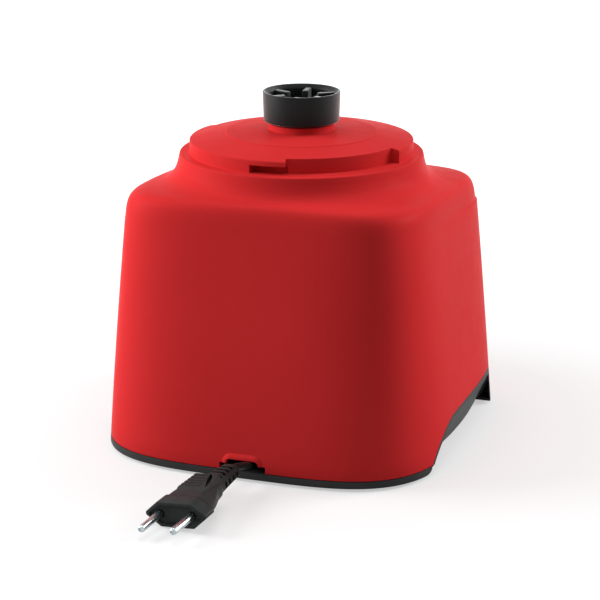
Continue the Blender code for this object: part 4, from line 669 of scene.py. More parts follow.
def grip_block(name, side, grow, slack=0.0, steps=28):
    """Wedge that fills a finger recess, from its sloping floor out past the wall."""
    edge = grow + slack
    bottom, start, top = RING_BOTTOM - CUT_MARGIN, RING_BOTTOM - SEAM_GAP, GRIP_TOP + edge
    outline = []
    for i in range(steps, -1, -1):
        angle = math.pi / 2 * i / steps
        outline.append((GRIP_BACK - edge + GRIP_SWEEP * (1 - math.sin(angle)) ** GRIP_SWEEP_POWER,
                        start + (top - start) * math.cos(angle)))
    straight, end = outline[-1][0], GRIP_FRONT + edge
    outline += [(straight + (end - straight) * i / 12, top) for i in range(1, 13)]
    behind = edge * math.hypot(1.0, GRIP_SLOPE)
    rings = []
    for y, ceiling in outline:
        heights = [bottom + (ceiling - bottom) * i / 10 for i in range(11)]
        inner = [(side * (grip_floor(y, z) - behind), y, z) for z in heights]
        outer = [(side * (BODY_WIDTH / 2 + CUT_MARGIN), y, z) for z in (ceiling, bottom)]
        rings.append(inner + outer)
    return skin(name, rings, caps=True)


def arch_outline(width, height, corner, low, steps=10):
    """Flat-bottomed arch as (x, z) points, from the foot of its right side to the left."""
    half = width / 2
    right = []
    for i in range(steps + 1):
        angle = math.pi / 2 * i / steps
        right.append((half - corner + corner * math.cos(angle), height - corner + corner * math.sin(angle)))
    return [(half, low)] + right + [(-x, z) for x, z in reversed(right)] + [(-half, low)]


def prism_along_y(name, outline, back, front):
    """Straight piece whose (x, z) outline runs from back to front."""
    return skin(name, [[(x, y, z) for x, z in outline] for y in (back, front)], caps=True)


def notch_brow():
    """Raised lip over the cord notch, that dies away down its two sides."""
    low = NOTCH_STEP_HEIGHT - 0.0008
    path = arch_outline(NOTCH_ARCH_WIDTH, NOTCH_HEIGHT, NOTCH_CORNER * 1.4, low, 12)
    rings = []
    for i, (x, z) in enumerate(path):
        before, after = path[max(0, i - 1)], path[min(len(path) - 1, i + 1)]
        along = Vector((after[0] - before[0], after[1] - before[1])).normalized()
        out = Vector((along.y, -along.x))
        if out.dot(Vector((x, z - low))) < 0:
            out.negate()
        fade = min(1.0, 0.35 + 0.65 * max(0.0, (z - low) / (NOTCH_HEIGHT - low)))
        ring = []
        for reach, rise in BROW_SECTION:
            px, pz = x + out.x * reach * (0.6 + 0.4 * fade), z + out.y * reach
            lift = rise * BROW_RISE * fade if rise > 0 else rise
            ring.append((px, -wall_depth(px, pz) - lift, pz))
        rings.append(ring)
    return skin("brow", rings, caps=True)


def panel_outline(grow, steps=16):
    """Rounded rectangle of the panel as (x, z) points, grown on all sides."""
    half_width, half_height = PANEL_WIDTH / 2 + grow, PANEL_HEIGHT / 2 + grow
    corner = PANEL_CORNER + grow
    points = []
    for quarter in range(4):
        across, upward = (1 if quarter in (0, 3) else -1), (1 if quarter in (0, 1) else -1)
        for i in range(steps + 1):
            angle = math.pi / 2 * (quarter + i / steps)
            points.append((across * (half_width - corner) + corner * math.cos(angle),
                           PANEL_CENTRE + upward * (half_height - corner) + corner * math.sin(angle)))
    return points


def four_points(x, y, centre_y=0.0):
    """Corners of a rectangle: the two at the back first, each pair from left to right."""
    return [(a * x, b * y + centre_y) for b in (-1, 1) for a in (-1, 1)]


def rod(name, radius, bottom, top, centre, sides=24):
    """Upright cylinder between two heights."""
    return primitive("cylinder", name, vertices=sides, radius=radius, depth=top - bottom,
                     location=(*centre, (bottom + top) / 2))


def build_housing():
    """Red shell: too free a shape for a primitive, so it is a skin over rings."""
    shell = skin("housing_shell", shell_rows(), closed=True)
    posts, ribs, holes = [], [], []
    for i, (x, y) in enumerate(four_points(BASE_SCREW_X, BASE_SCREW_Y)):
        posts.append(rod(f"post_{i}", BASE_POST_RADIUS, HOUSING_BOTTOM, BASE_POST_TOP, (x, y)))
        side = math.copysign(1.0, x)
        wall = side * (wall_half_width(abs(y) + BASE_RIB_WIDTH / 2, BASE_POST_TOP) - SHELL_WALL + RIB_BITE)
        low_x, high_x = sorted((x + side * (BASE_POST_RADIUS - RIB_BITE), wall))
        ribs.append(block(f"rib_{i}", (low_x, y - BASE_RIB_WIDTH / 2, BASE_RIB_BOTTOM),
                          (high_x, y + BASE_RIB_WIDTH / 2, BASE_POST_TOP - FLUSH_STEP)))
        holes.append(rod(f"hole_{i}", SCREW_RADIUS + SEAM_GAP, HOUSING_BOTTOM - CUT_MARGIN,
                         HOUSING_BOTTOM + BASE_SCREW_LENGTH, (x, y)))
    for i, (x, y) in enumerate(four_points(MOUNT_SPREAD, MOUNT_SPREAD, -DRIVE_SETBACK)):
        posts.append(rod(f"motor_post_{i}", POST_RADIUS, POST_BOTTOM, FLANGE_HEIGHT - SEAM_GAP, (x, y)))
        holes.append(rod(f"motor_hole_{i}", SCREW_RADIUS + SEAM_GAP, POST_BOTTOM - CUT_MARGIN,
                         FLANGE_HEIGHT - SHELL_WALL / 2, (x, y)))
    combine(shell, gather("posts", posts), "UNION")
    combine(shell, gather("ribs", ribs), "UNION")
    combine(shell, notch_brow(), "UNION")
    floor = FLANGE_HEIGHT + BAYONET_FLOOR
    cut_radius, beyond = COLLAR_RADIUS - BAYONET_DEPTH, COLLAR_RADIUS + SHELL_WALL
    recesses, slots = [], []
    for i in range(2):
        turn = math.pi * i
        recesses.append(ring_sector(f"recess_{i}", cut_radius, beyond, RECESS_START + turn,
                                    RECESS_END + turn, floor, RIM_HEIGHT + COLLAR_HEIGHT, 48))
        slots.append(ring_sector(f"slot_{i}", COLLAR_BORE + SLOT_WALL, beyond, LUG_SLOT_START + turn,
                                 RECESS_START + turn + CUT_OVERLAP, floor, floor + LUG_SLOT_HEIGHT, 16))
    foot = HOUSING_BOTTOM - CUT_MARGIN
    outside = -BODY_DEPTH / 2 - CUT_MARGIN
    inside = -BODY_DEPTH / 2 + WALL_TAPER * NOTCH_HEIGHT + 2 * SHELL_WALL
    step = arch_outline(NOTCH_WIDTH, NOTCH_STEP_HEIGHT, NOTCH_CORNER / 4, foot)
    arch = arch_outline(NOTCH_ARCH_WIDTH, NOTCH_HEIGHT, NOTCH_CORNER, foot)
    opening = prism_along_y("panel_opening", panel_outline(SEAM_GAP),
                            BASE_SCREW_Y + BASE_POST_RADIUS + 3 * SEAM_GAP, BODY_DEPTH)
    grips = [grip_block(f"grip_{side}", side, GRIP_WALL, SEAM_GAP) for side in (1, -1)]
    ducts = []
    for side in (1, -1):
        room = outlet_prism(f"duct_room_{side}", side, DUCT_WALL + SEAM_GAP / 2, GRIP_FRONT + GRIP_WALL / 2,
                            GRIP_FRONT + DUCT_DEPTH + SEAM_GAP)
        ducts.append(combine(room, skin("room_limit", duct_rings(DUCT_ROOM_INSET), caps=True), "INTERSECT"))
    combine(shell, gather("first_cuts", recesses + grips + holes
                          + [opening, prism_along_y("step", step, outside, inside)]))
    combine(shell, gather("second_cuts", slots + ducts + [prism_along_y("arch", arch, outside, inside)]))
    dress(shell, RED_ABS, "base", ["housing"], 30.0)


# ================================================================ base tray
def outlet_prism(name, side, grow, back, front, steps=5):
    """Three-cornered air outlet with rounded corners in the end wall of a finger recess."""
    low = RING_BOTTOM + OUTLET_MARGIN
    inner_low = GRIP_FLOOR_X + GRIP_SLOPE * (low - RING_BOTTOM) + OUTLET_MARGIN
    outer_low = BODY_WIDTH / 2 - WALL_TAPER * low - OUTLET_MARGIN
    rise = (outer_low - inner_low) / (GRIP_SLOPE + WALL_TAPER) * (1 - OUTLET_BLUNTNESS)
    lean_in, lean_out = grow * math.hypot(1.0, GRIP_SLOPE), grow * math.hypot(1.0, WALL_TAPER)
    outline = [(inner_low - lean_in - GRIP_SLOPE * grow, low - grow),
               (outer_low + lean_out + WALL_TAPER * grow, low - grow),
               (outer_low + lean_out - WALL_TAPER * (rise + grow), low + rise + grow),
               (inner_low - lean_in + GRIP_SLOPE * (rise + grow), low + rise + grow)]
    outline = soften(outline, OUTLET_ROUNDING + grow, steps, closed=True)
    return prism_along_y(name, [(side * x, z) for x, z in outline], back, front)


def rim_end(name, side, steps=8):
    """Cutter that rounds the rim off where a finger recess begins at the back."""
    back, low, high = GRIP_BACK - SEAM_GAP, RING_BOTTOM, RING_TOP - SEAM_GAP
    outline = [(GRIP_BACK + CUT_MARGIN, low - CUT_MARGIN), (GRIP_BACK + CUT_MARGIN, high), (back, high)]
    for i in range(1, steps + 1):
        turn = math.pi / 2 * i / steps
        outline.append((back - RIM_END_REACH * (1 - math.cos(turn)), high - (high - low) * math.sin(turn)))
    outline.append((back - RIM_END_REACH, low - CUT_MARGIN))
    inner, outer = side * (GRIP_FLOOR_X - RIM_WIDTH / 2), side * (BODY_WIDTH / 2 + CUT_MARGIN)
    return skin(name, [[(x, y, z) for y, z in outline] for x in (inner, outer)], caps=True)


def duct_rings(inset):
    """Rings just inside the wall's outer face, which an air duct mustn't pass."""
    return [wall_ring(height, inset) for height in (-GRIP_TOP, RING_BOTTOM, GRIP_TOP / 2, 2 * GRIP_TOP)]


def build_tray():
    """Dark tray: a flat rim under the shell, sloping walls in the sides, vents in the floor."""
    rings = [wall_ring(FLOOR_UNDERSIDE, RIM_WIDTH), wall_ring(RING_BOTTOM, RIM_WIDTH - RIM_EDGE),
             wall_ring(RING_BOTTOM, RIM_EDGE), wall_ring(RING_BOTTOM + RIM_EDGE * 0.3, RIM_EDGE * 0.3),
             wall_ring(RING_BOTTOM + RIM_EDGE), wall_ring(RING_TOP)]
    tray = skin("tray", rings, caps=True)
    hub = turned("hub", [(HUB_RADIUS, HUB_TOP), (HUB_RADIUS, RING_TOP - TRAY_FLOOR / 2),
                         (HUB_RADIUS - HUB_WALL, RING_TOP - TRAY_FLOOR / 2),
                         (HUB_RADIUS - HUB_WALL, HUB_TOP)], 96, ring=True)
    combine(tray, hub, "UNION")
    envelope_rings = [wall_ring(RING_BOTTOM + SEAM_GAP, 2 * RIM_EDGE), wall_ring(RING_TOP - SEAM_GAP, RIM_EDGE)]
    envelope_rings += [wall_ring(height, FLUSH_STEP) for height in (RING_TOP + SEAM_GAP, GRIP_TOP, 2 * GRIP_TOP)]
    for side in (1, -1):
        scoop = grip_block(f"scoop_{side}", side, GRIP_WALL)
        combine(scoop, skin("envelope", envelope_rings, caps=True), "INTERSECT")
        combine(scoop, grip_block("finger_space", side, 0.0))
        combine(tray, grip_block("clearance", side, GRIP_WALL / 2))
        combine(tray, scoop, "UNION")
        wall, mouth = GRIP_FRONT + GRIP_WALL / 2, GRIP_FRONT - CUT_MARGIN
        duct = outlet_prism("duct", side, DUCT_WALL, wall, GRIP_FRONT + DUCT_DEPTH)
        combine(duct, skin("duct_limit", duct_rings(DUCT_INSET), caps=True), "INTERSECT")
        combine(tray, duct, "UNION")
        hollow = outlet_prism("hollow", side, 0.0, wall, GRIP_FRONT + DUCT_DEPTH - DUCT_WALL)
        combine(hollow, skin("hollow_limit", duct_rings(DUCT_HOLLOW_INSET), caps=True), "INTERSECT")
        combine(tray, hollow)
        combine(tray, outlet_prism("air_outlet", side, 0.0, mouth, wall + GRIP_WALL / 4))
    cutters = [rim_end(f"rim_end_{side}", side) for side in (1, -1)]
    for i in range(VENT_COUNT):
        vent = block(f"vent_{i}", (VENT_INNER_RADIUS, -VENT_WIDTH / 2, 0.0),
                     (VENT_OUTER_RADIUS, VENT_WIDTH / 2, HUB_TOP / 2), 0.0012)
        vent.data.transform(Matrix.Translation((*AXIS, 0.0)) @ Matrix.Rotation(math.tau * i / VENT_COUNT, 4, "Z"))
        cutters.append(vent)
    for i, centre in enumerate(four_points(BASE_SCREW_X, BASE_SCREW_Y)):
        cutters.append(rod(f"screw_hole_{i}", SCREW_RADIUS + SEAM_GAP, 0.0, HUB_TOP, centre))
    for i, centre in enumerate(four_points(FOOT_X, FOOT_Y)):
        cutters.append(rod(f"foot_hole_{i}", FOOT_STUD_RADIUS + SEAM_GAP, 0.0, HUB_TOP, centre))
    clamp_low, clamp_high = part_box("clamp_screw")
    centre = (clamp_low + clamp_high) / 2
    cutters.append(rod("clamp_hole", CLAMP_SCREW_RADIUS + SEAM_GAP, 0.0, HUB_TOP, (centre.x, centre.y)))
    combine(tray, gather("tray_cuts", cutters))
    dress(tray, CHARCOAL_ABS, "base", ["base_tray"], 30.0)


def build_feet():
    """Rubber feet: a ringed pad, a stud through the floor and a bulb that holds it above."""
    bulb = RING_TOP + SEAM_GAP
    seat = FLOOR_UNDERSIDE - SEAM_GAP
    profile = [(0.0006, bulb + FOOT_BULB_RADIUS), (FOOT_BULB_RADIUS * 0.8, bulb + FOOT_BULB_RADIUS * 0.6),
               (FOOT_BULB_RADIUS, bulb), (FOOT_STUD_RADIUS, bulb), (FOOT_STUD_RADIUS, seat),
               (FOOT_RADIUS, seat), (FOOT_RADIUS, 0.0), (FOOT_RADIUS - 0.0022, 0.0),
               (FOOT_RADIUS - 0.0026, 0.0006), (FOOT_RADIUS - 0.0040, 0.0006), (FOOT_RADIUS - 0.0044, 0.0),
               (0.0004, 0.0)]
    first = turned("foot", soften(profile, 0.0003, 3), 48, (0.0, 0.0))
    for i, (x, y) in enumerate(four_points(FOOT_X, FOOT_Y), 1):
        foot = copied(first, f"rubber_foot_{i}", Matrix.Translation((x, y, 0.0)))
        dress(foot, RUBBER, "base", [f"foot_{i}"], 40.0)
    bpy.data.objects.remove(first, do_unlink=True)


def build_base_screws():
    """Pan heads with a cross recess, seen from below."""
    top, seat = HOUSING_BOTTOM + BASE_SCREW_LENGTH - SEAM_GAP, FLOOR_UNDERSIDE - SEAM_GAP
    low = BASE_SCREW_HEAD_BOTTOM
    profile = [(0.0004, top), (SCREW_RADIUS * 0.8, top - 0.001), (SCREW_RADIUS, top - 0.002), (SCREW_RADIUS, seat),
               (SCREW_HEAD_RADIUS, seat), (SCREW_HEAD_RADIUS, low + 0.0008), (SCREW_HEAD_RADIUS * 0.75, low + 0.0001),
               (0.0004, low)]
    first = turned("screw", soften(profile, 0.0003, 3), 32, (0.0, 0.0))
    arms = [block("arm_x", (-0.0019, -0.00045, low - 0.001), (0.0019, 0.00045, low + 0.0012)),
            block("arm_y", (-0.00045, -0.0019, low - 0.001), (0.00045, 0.0019, low + 0.0013))]
    for arm in arms:
        combine(first, arm)
    for i, (x, y) in enumerate(four_points(BASE_SCREW_X, BASE_SCREW_Y), 1):
        screw = copied(first, f"cross_screw_{i}", Matrix.Translation((x, y, 0.0)) @ Matrix.Rotation(0.7 * i, 4, "Z"))
        dress(screw, ZINC_PLATE, "base", [f"base_screw_{i}"], 35.0)
    bpy.data.objects.remove(first, do_unlink=True)


# ================================================================ control panel and knob
def panel_frame():
    """Matrix of the panel: its Z looks out of the front wall, its Y down."""
    reach = BODY_DEPTH / 2 - WALL_TAPER * (PANEL_CENTRE - RING_BOTTOM)
    turn = Matrix.Rotation(-math.pi / 2 + math.atan(WALL_TAPER), 4, "X")
    return Matrix.Translation((0.0, reach, PANEL_CENTRE)) @ turn


def on_panel(item):
    """Moves a piece drawn about the origin, Z outwards, onto the panel."""
    item.data.transform(panel_frame())
    return item


def build_panel():
    """Panel that follows the front wall, with a round well for the knob."""
    reach = PANEL_HEIGHT / 2 + CUT_MARGIN
    shares = (-1.0, -0.5, 0.0, 0.5, 1.0)
    panel = prism_along_y("control_panel", panel_outline(0.0), BODY_DEPTH / 4, BODY_DEPTH)
    combine(panel, skin("outside", [wall_ring(PANEL_CENTRE + s * reach) for s in shares], caps=True), "INTERSECT")
    combine(panel, skin("inside", [wall_ring(PANEL_CENTRE + 2 * s * reach, PANEL_WALL) for s in shares], caps=True))
    cup_depth = WELL_DEPTH + PANEL_WALL
    combine(panel, on_panel(rod("cup", WELL_RADIUS + PANEL_WALL, -cup_depth, -PANEL_WALL / 2, (0, 0), 96)), "UNION")
    well = turned("well", soften([(WELL_RADIUS + 0.0012, PANEL_WALL), (WELL_RADIUS + 0.0012, 0.0002),
                                  (WELL_RADIUS, -0.0010), (WELL_RADIUS, -WELL_DEPTH),
                                  (0.001, -WELL_DEPTH)], 0.0006), 96, (0.0, 0.0))
    combine(panel, on_panel(well))
    combine(panel, on_panel(rod("shaft_hole", SWITCH_SHAFT_RADIUS + RUNNING_GAP, -2 * cup_depth, 0.0, (0, 0), 32)))
    dress(panel, CHARCOAL_ABS, "base", ["front_panel"], 30.0)


def dial_place(angle, radius):
    """Matrix of a mark on the panel, upright as seen from the front, clockwise from the top."""
    x, y = -math.sin(angle) * radius, -math.cos(angle) * radius
    flat = panel_frame() @ Vector((x, y, 0.0))
    sink = wall_depth(flat.x, flat.z) - flat.y
    return panel_frame() @ Matrix.Translation((x, y, sink)) @ Matrix.Rotation(math.pi, 4, "Z")


def build_dial():
    """Numbers and ticks printed round the knob: pulse to the left, speeds 0 to 5 clockwise."""
    marks = []
    words = [("P", DIAL_PULSE_ANGLE)] + [(str(n), DIAL_SPEED_STEP * n) for n in range(DIAL_TOP_SPEED + 1)]
    for word, degrees in words:
        angle = math.radians(degrees)
        deselect()
        bpy.ops.object.text_add()
        text = bpy.context.object
        text.data.body = word
        text.data.size = DIAL_TEXT_SIZE
        text.data.extrude = INK_RELIEF
        text.data.align_x, text.data.align_y = "CENTER", "CENTER"
        bpy.ops.object.convert(target="MESH")
        text.data.transform(dial_place(angle, DIAL_TEXT_RADIUS))
        marks.append(text)
        tick = block("tick", (-0.0004, -0.0012, -INK_RELIEF), (0.0004, 0.0012, INK_RELIEF))
        tick.data.transform(dial_place(angle, DIAL_TICK_RADIUS) @ Matrix.Rotation(-angle, 4, "Z"))
        marks.append(tick)
    dial = gather("dial_marks", marks)
    dress(dial, WHITE_INK, "base", [], 30.0)


def build_knob():
    """Round knob with a raised grip bar and a white pointer line."""
    seat = -WELL_DEPTH + RUNNING_GAP
    crown, body = seat + KNOB_HEIGHT, seat + KNOB_SKIRT
    disc = [(0.0006, body + KNOB_SKIRT), (KNOB_RADIUS - KNOB_SKIRT, body + KNOB_SKIRT),
            (KNOB_RADIUS - 0.0002, body), (KNOB_RADIUS, body - 0.0004), (KNOB_RADIUS, seat), (0.0006, seat)]
    knob = turned("knob", soften(disc, 0.0009, 5), 120, (0.0, 0.0))
    grip = block("grip", (-KNOB_GRIP_WIDTH / 2, -KNOB_GRIP_REACH, body - 0.0005),
                 (KNOB_GRIP_WIDTH / 2, KNOB_GRIP_REACH, crown), 0.0011, 4)
    combine(knob, grip, "UNION")
    flutes = []
    for i in range(FLUTE_COUNT):
        angle = math.tau * (i + 0.5) / FLUTE_COUNT
        flutes.append(rod(f"flute_{i}", FLUTE_RADIUS, seat - 0.001, body - 0.0006,
                          ((KNOB_RADIUS + FLUTE_OUTSET) * math.cos(angle),
                           (KNOB_RADIUS + FLUTE_OUTSET) * math.sin(angle)), 12))
    combine(knob, gather("flutes", flutes))
    combine(knob, rod("bore", SWITCH_SHAFT_RADIUS + SEAM_GAP, seat - KNOB_SKIRT, crown - KNOB_SKIRT, (0, 0), 32))
    on_panel(knob)
    dress(knob, CHARCOAL_ABS, "knob", ["speed_knob"], 35.0)
    line = block("pointer", (-0.0005, -KNOB_GRIP_REACH + 0.0016, crown - 0.0003), (0.0005, -0.0050, crown + 0.00004))
    on_panel(line)
    dress(line, WHITE_INK, "knob", [], 30.0)
    line.name = line.data.name = "pointer_line"


# ================================================================ coupling
def build_coupling():
    """Cup with teeth inside, turned up from its profile."""
    base, top = COUPLING_BASE, COUPLING_BASE + COUPLING_HEIGHT
    low_radius = COUPLING_RADIUS - COUPLING_TAPER
    bore = COUPLING_RADIUS - COUPLING_WALL
    floor = base + COUPLING_FLOOR
    hub_top = floor + COUPLING_HUB_HEIGHT
    profile = [(INSERT_RADIUS + SEAM_GAP, hub_top), (COUPLING_HUB_RADIUS, hub_top), (COUPLING_HUB_RADIUS, floor),
               (bore, floor), (bore, top - RIM_CHAMFER), (COUPLING_RADIUS - RIM_LAND, top),
               (COUPLING_RADIUS, top), (low_radius, base),
               (INSERT_RADIUS + SEAM_GAP, base)]
    cup = turned("coupling_cup", soften(profile, 0.0006, 5, closed=True), 128, ring=True)
    for i in range(TOOTH_COUNT):
        tooth = block(f"tooth_{i}", (TOOTH_REACH, -TOOTH_WIDTH / 2, floor - COUPLING_FLOOR / 2),
                      (bore + COUPLING_WALL / 2, TOOTH_WIDTH / 2, top - TOOTH_DROP), 0.0005)
        tooth.data.transform(Matrix.Translation((*AXIS, 0.0))
                             @ Matrix.Rotation(TOOTH_PHASE + math.tau * i / TOOTH_COUNT, 4, "Z"))
        combine(cup, tooth, "UNION")
    dress(cup, NYLON_BLACK, "rotor", ["drive_coupling"], 32.0)


# ================================================================ lead and plug
def plug_matrix():
    """Matrix of the plug: X out along its pins, Z through its flat sides, origin in its face."""
    turn = Euler((PLUG_ROLL, PLUG_PITCH, PLUG_YAW), "XYZ").to_matrix().to_4x4()
    return Matrix.Translation(PLUG_FACE) @ turn


def lead_points():
    """The lead's whole middle line: wound on the hub, out through the notch, to the plug."""
    per_turn = 48
    count = round(WINDING_TURNS * per_turn)
    start_angle = WINDING_END_ANGLE - math.tau * WINDING_TURNS
    height = RING_TOP + SEAM_GAP + CORD_RADIUS
    wound = []
    for i in range(count + 1):
        turn = WINDING_TURNS * i / count
        radius = WINDING_START_RADIUS + WINDING_PITCH * turn
        wound.append(Vector(polar(start_angle + math.tau * turn, radius, height)))
    straight = 2 * CORD_RADIUS
    leave = Vector((-math.sin(WINDING_END_ANGLE), math.cos(WINDING_END_ANGLE), 0.0))
    enter = Vector((-math.sin(start_angle), math.cos(start_angle), 0.0))
    place = plug_matrix()
    tail = place @ Vector((-PLUG_LENGTH - SEAM_GAP, 0.0, 0.0))
    inward = (place.to_3x3() @ Vector((-1.0, 0.0, 0.0))).normalized()
    start = wound[-1] + leave * (straight + SEAM_GAP)
    free = [start, start + leave * straight] + [Vector(p) for p in CORD_ROUTE] + [tail + inward * straight, tail]
    free = [Vector(p) for p in smooth_through(free, 8)]
    return [wound[0] - enter * straight] + wound + free


def build_lead(plug_pieces):
    """Round lead along its middle line, that ends in the plug."""
    points = lead_points()
    curve = bpy.data.curves.new("mains_lead", "CURVE")
    curve.dimensions = "3D"
    curve.bevel_depth = CORD_RADIUS
    curve.bevel_resolution = 5
    curve.use_fill_caps = True
    spline = curve.splines.new("POLY")
    spline.points.add(len(points) - 1)
    for knot, point in zip(spline.points, points):
        knot.co = (*point, 1.0)
    spline.use_smooth = True
    lead = bpy.data.objects.new("mains_lead", curve)
    bpy.context.scene.collection.objects.link(lead)
    curve.materials.append(FLEX_PVC)
    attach(lead, "base")
    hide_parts("cord_winding", "cord_tail")


def plug_section(x, half_width, half_height, shoulder, cheek):
    """Eight-cornered section, flat for a share of its width and upright for one of its height."""
    w, h = half_width, half_height
    return [(x, y, z) for y, z in ((w, cheek * h), (shoulder * w, h), (-shoulder * w, h), (-w, cheek * h),
                                   (-w, -cheek * h), (-shoulder * w, -h), (shoulder * w, -h), (w, -cheek * h))]


def build_plug():
    """Flat two-pin plug: bevelled body, sunk face, ribbed finger grip and slotted strain relief."""
    rings = [plug_section(-back * PLUG_LENGTH, width * PLUG_HALF_WIDTH, height * PLUG_HALF_HEIGHT, shoulder, cheek)
             for back, width, height, shoulder, cheek in PLUG_SECTIONS]
    body = skin("plug_shell", rings, caps=True)
    make_active(body)
    bpy.ops.object.mode_set(mode="EDIT")
    bpy.ops.mesh.select_all(action="SELECT")
    bpy.ops.mesh.bevel(offset=0.0006, segments=3, affect="EDGES")
    bpy.ops.object.mode_set(mode="OBJECT")
    sunk = skin("sunk_face", [plug_section(x, w * PLUG_HALF_WIDTH, h * PLUG_HALF_HEIGHT, 0.55, 0.12)
                              for x, w, h in ((-0.0010, 0.85, 0.72), (0.002, 0.91, 0.78))], caps=True)
    combine(body, sunk)
    grip = skin("grip_pad", [[(x, y * PLUG_HALF_WIDTH, z) for y, z in ((-low, 0.0040), (low, 0.0040),
                                                                      (low, top), (-low, top))]
                             for x, low, top in ((-0.0185, 0.50, 0.0064), (-0.0205, 0.49, 0.0071),
                                                 (-0.0355, 0.40, 0.0078), (-0.0372, 0.36, 0.0062))], caps=True)
    combine(body, grip, "UNION")
    cuts = []
    for i in range(GROOVE_COUNT):
        x = GROOVE_START - GROOVE_PITCH * i
        top = 0.0071 + 0.0007 * (-0.0205 - x) / 0.0150
        cuts.append(block(f"groove_{i}", (x - GROOVE_HALF_WIDTH, -0.0110, top - 0.0003),
                          (x + GROOVE_HALF_WIDTH, 0.0030, 0.0100)))
    lens = skin("lens", [[(x, y, z) for x, y in ((-0.0205, 0.0072), (-0.0290, 0.0034), (-0.0365, 0.0016),
                                                 (-0.0330, 0.0044), (-0.0270, 0.0068))]
                         for z in (0.0058, 0.0100)], caps=True)
    combine(body, lens)
    for i in range(RELIEF_SLOT_COUNT):
        middle = RELIEF_SLOT_START - RELIEF_SLOT_PITCH * i
        half, rise = 0.0059 - 0.00022 * i, 0.0052 - 0.00038 * i
        cuts.append(block(f"top_slot_{i}", (middle - 0.0009, -0.0090, rise - 0.0026),
                          (middle + 0.0010, half - 0.0008, 0.0090)))
        cuts.append(block(f"bottom_slot_{i}", (middle - 0.0009, -half + 0.0008, -0.0090),
                          (middle + 0.0010, 0.0090, -rise + 0.0026)))
        cuts.append(block(f"side_slot_{i}", (middle - 0.0030, half - 0.0022, -0.0050),
                          (middle - 0.0013, 0.0090, 0.0008)))
        cuts.append(block(f"far_slot_{i}", (middle - 0.0030, -0.0090, -0.0008),
                          (middle - 0.0013, -half + 0.0022, 0.0050)))
    combine(body, gather("slots", cuts))
    seats = []
    for side in (1, -1):
        seat = rod(f"pin_seat_{side}", PIN_RADIUS + SEAM_GAP, -PIN_SEAT - SEAM_GAP, PIN_LENGTH, (0.0, 0.0), 32)
        seat.data.transform(Matrix.Translation((0.0, side * PIN_PITCH / 2, 0.0))
                            @ Matrix.Rotation(math.pi / 2, 4, "Y"))
        seats.append(seat)
    combine(body, gather("pin_seats", seats))
    body.data.transform(plug_matrix())
    dress(body, PLUG_PVC, "base", ["plug_body"], 28.0)
    profile = soften([(0.0004, PIN_LENGTH), (PIN_RADIUS * 0.55, PIN_LENGTH - 0.0001),
                      (PIN_RADIUS, PIN_LENGTH - 0.0011), (PIN_RADIUS, -PIN_SEAT), (0.0004, -PIN_SEAT)], 0.0007, 5)
    pins = []
    for side, word in ((1, "right"), (-1, "left")):
        pin = turned(f"nickel_pin_{word}", profile, 48, (0.0, 0.0))
        for turn in (0.0, math.pi / 2):
            groove = block("groove", (-0.0012, -0.00016, PIN_LENGTH - 0.0007), (0.0012, 0.00016, PIN_LENGTH + 0.001))
            groove.data.transform(Matrix.Rotation(turn + 0.4, 4, "Z"))
            combine(pin, groove)
        pin.data.transform(plug_matrix() @ Matrix.Translation((0.0, side * PIN_PITCH / 2, 0.0))
                           @ Matrix.Rotation(math.pi / 2, 4, "Y"))
        pins.append(dress(pin, NICKEL, "base", [f"plug_pin_{word}"], 35.0))
    return [body] + pins


# ================================================================ brush springs
def build_springs():
    """Coil springs between the ends of the CAD's; in the real motor they close up as their brush slides back."""
    for word, outward in (("front", 1.0), ("back", -1.0)):
        low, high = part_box(f"brush_spring_{word}")
        centre, length = (low + high) / 2, high.y - low.y
        reach = length / 2 - SPRING_WIRE
        count = SPRING_TURNS * SPRING_STEPS
        rings = []
        for i in range(count + 1):
            turn = math.tau * i / SPRING_STEPS
            out = Vector((math.cos(turn), 0.0, math.sin(turn)))
            middle = Vector((centre.x, centre.y + outward * reach * (2 * i / count - 1), centre.z))
            middle += out * SPRING_RADIUS
            rings.append([middle + SPRING_WIRE * (out * math.cos(a) + Vector((0.0, math.sin(a), 0.0)))
                          for a in (math.tau * k / SPRING_SIDES for k in range(SPRING_SIDES))])
        spring = skin(f"coil_spring_{word}", rings, caps=True)
        dress(spring, GROUND_STEEL, "base", [f"brush_spring_{word}"], 60.0)
        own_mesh(spring)


# ================================================================ pieces that keep their CAD shape
KEPT = {
    RUBBER: ["shaft_seal", "motor_mount_1", "motor_mount_2", "motor_mount_3", "motor_mount_4"],
    GROUND_STEEL: ["motor_shaft", "upper_bearing", "lower_bearing"],
    ZINC_PLATE: ["coupling_insert", "switch_shaft", "motor_top_bracket", "motor_bottom_bracket", "clamp_screw",
                 "motor_bolt_left", "motor_bolt_right", "motor_nut_left", "motor_nut_right",
                 "motor_screw_1", "motor_screw_2", "motor_screw_3", "motor_screw_4"],
    LAMINATIONS: ["armature_core", "stator_core"],
    MAGNET_WIRE: ["armature_winding_top", "armature_winding_bottom", "field_coil_left", "field_coil_right"],
    COPPER_BARS: ["commutator"],
    CARBON: ["carbon_brush_front", "carbon_brush_back"],
    SWITCH_PLASTIC: ["rotary_switch", "brush_holder_front", "brush_holder_back", "cord_clamp"],
    WHITE_NYLON: ["cooling_fan"],
}


def dress_kept_nodes():
    """Gives the CAD nodes that stay visible their materials."""
    for material, names in KEPT.items():
        for name in names:
            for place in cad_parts[name].material_slots:
                place.material = material


